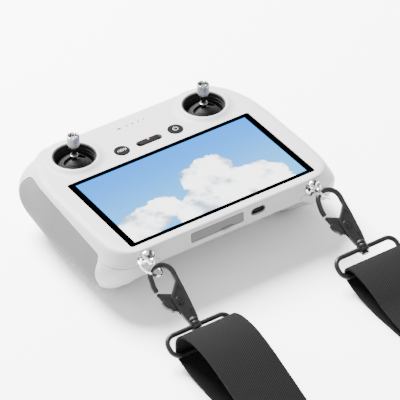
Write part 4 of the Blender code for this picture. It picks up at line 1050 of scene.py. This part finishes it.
twill = ((u + v * 1.5) * (2 * math.pi / TWILL_PITCH)).maths("SINE")
fibres = cloth.noise(1800, 3)
weave = ribs * 0.25 + cords * 0.2 + twill * 0.55
cloth.give("Base Color", cloth.mix(weave * 0.3 + fibres * 0.6 + 0.2, tint(0.003), tint(0.014)))
cloth.give("Roughness", fibres * 0.15 + 0.74)
cloth.bump(weave * 0.6 + fibres * 0.5, 0.7, 0.0003)
finished(smooth(webbing, 50), cloth, "housing", "webbing", "strap_left_run", "strap_right_run", "strap_hank")

top = UPPER_Z + PITCH * 6 + 0.7
sleeve = [(FOLD_Y - 19.2, 1.9), (FOLD_Y - 20.3, 2.6), (FOLD_Y - 20.5, top - 0.4), (FOLD_Y - 19.4, top + 0.5),
          (FOLD_Y, top + 0.8), (FOLD_Y + 19.4, top + 0.5), (FOLD_Y + 20.5, top - 0.4), (FOLD_Y + 20.3, 2.6),
          (FOLD_Y + 19.2, 1.9), (FOLD_Y, 1.5)]
band_rows = flowing([*sleeve, sleeve[0]], 4)[:-1]
count = len(band_rows)
points = [(x, p.x - SHIFT, p.y) for p in band_rows for x in (-7.5, 7.5)]
faces = [(2 * k, 2 * k + 1, (2 * k + 3) % (2 * count), (2 * k + 2) % (2 * count)) for k in range(count)]
tie = link_mesh("strap_tie_band", points, faces)
thickened(tidy_faces(tie), 0.6)
elastic = moulded("tie_elastic", 0.006, 0.8, 1500, 0.0002, 0.2, 0.03)
finished(smooth(tie, 50), elastic, "housing", "webbing", "strap_tie")


# ---- Charge lights, screws, feet and what the case holds ---------------------------------------
# Five lenses show the charge on the face. The underside has four rubber feet and four cross-head
# screws. What the case holds, the grilles and the tray for spare sticks keep their CAD solids.
lens_grey = Finish("light_lens", (0.004, 0.004, 0.004), 0.35, specular=0.02).uneven(900, 0.2, 0.25)
lenses = []
for k, x in enumerate(lights):
    size = (2.3 if k == 0 else 0.95, 0.95, 1.6)
    lenses.append(slab("lens", (x, light_y, TOP - 0.78), size, 0.46, "Z", 6))
finished(joined("charge_lights", *lenses), lens_grey, "housing", "light_guide", "light_guide")
screw_steel = Finish("screw_steel", (0.35, 0.35, 0.36), 0.4, 1.0).uneven(1500, 0.25, 0.28)
for node in SCREWS:
    hub, bottom = middle_of(node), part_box(node)[0].z / MM
    radius = size_of(node).x / 2
    profile = closed([(radius - 0.2, bottom), (radius, bottom + 0.2), (radius, bottom + size_of(node).z)])
    head = spun(f"{node}_head", profile, (hub.x, hub.y, 0), steps=32)
    for size in ((radius * 1.4, 0.3, 1.2), (0.3, radius * 1.4, 1.2)):
        carve(head, slab("cross", (hub.x, hub.y, bottom), size))
    finished(smooth(head), screw_steel, "housing", "screw_steel", node)
foot_rubber = moulded("foot_rubber", 0.20, 0.8, 2500, 0.0001, 0.05)
for node in FEET:
    hub, size = middle_of(node), size_of(node)
    radius = size.x / 2
    profile = closed([(radius - 0.5, 0.0), (radius - 0.15, 0.15), (radius, 0.5), (radius, size.z)])
    foot = spun(f"{node}_pad", profile, (hub.x, hub.y, 0), steps=48)
    finished(foot, foot_rubber, "housing", "foot_rubber", node)

board_green = moulded("circuit_board", 0.05, 0.4, 1500, 0.00005, 0.1)
board_green.mottle(300, (0.01, 0.07, 0.03), (0.015, 0.11, 0.05))
sleeve_blue = moulded("battery_sleeve", 0.1, 0.35, 900, 0.00003, 0.1)
sleeve_blue.mottle(60, (0.02, 0.06, 0.2), (0.03, 0.08, 0.26))
panel_back = moulded("panel_back", 0.25, 0.35, 700, 0.00003, 0.08)
KEPT = {"display_panel": panel_back, "main_board": board_green, "key_board": board_green,
        "left_battery_cell": sleeve_blue, "right_battery_cell": sleeve_blue, "card_reader": steel,
        "left_stick_carrier": bowl_black, "right_stick_carrier": bowl_black}
for node, obj in frame["nodes"].items():
    if node in KEPT or node in ("speaker", "speaker_grille", "vent_grille", "stick_tray"):
        obj.data.materials.clear()
        obj.data.materials.append(KEPT.get(node, black).made)


# ---- The table and the finish ------------------------------------------------------------------
# A pale sheet runs well past the view on every side.
bpy.ops.mesh.primitive_plane_add(size=12)
floor = bpy.context.object
floor.name = "table"
paper = Finish("table_paper", (0.95, 0.95, 0.95), 0.75).uneven(20, 0.1, 0.7)
floor.data.materials.append(paper.made)
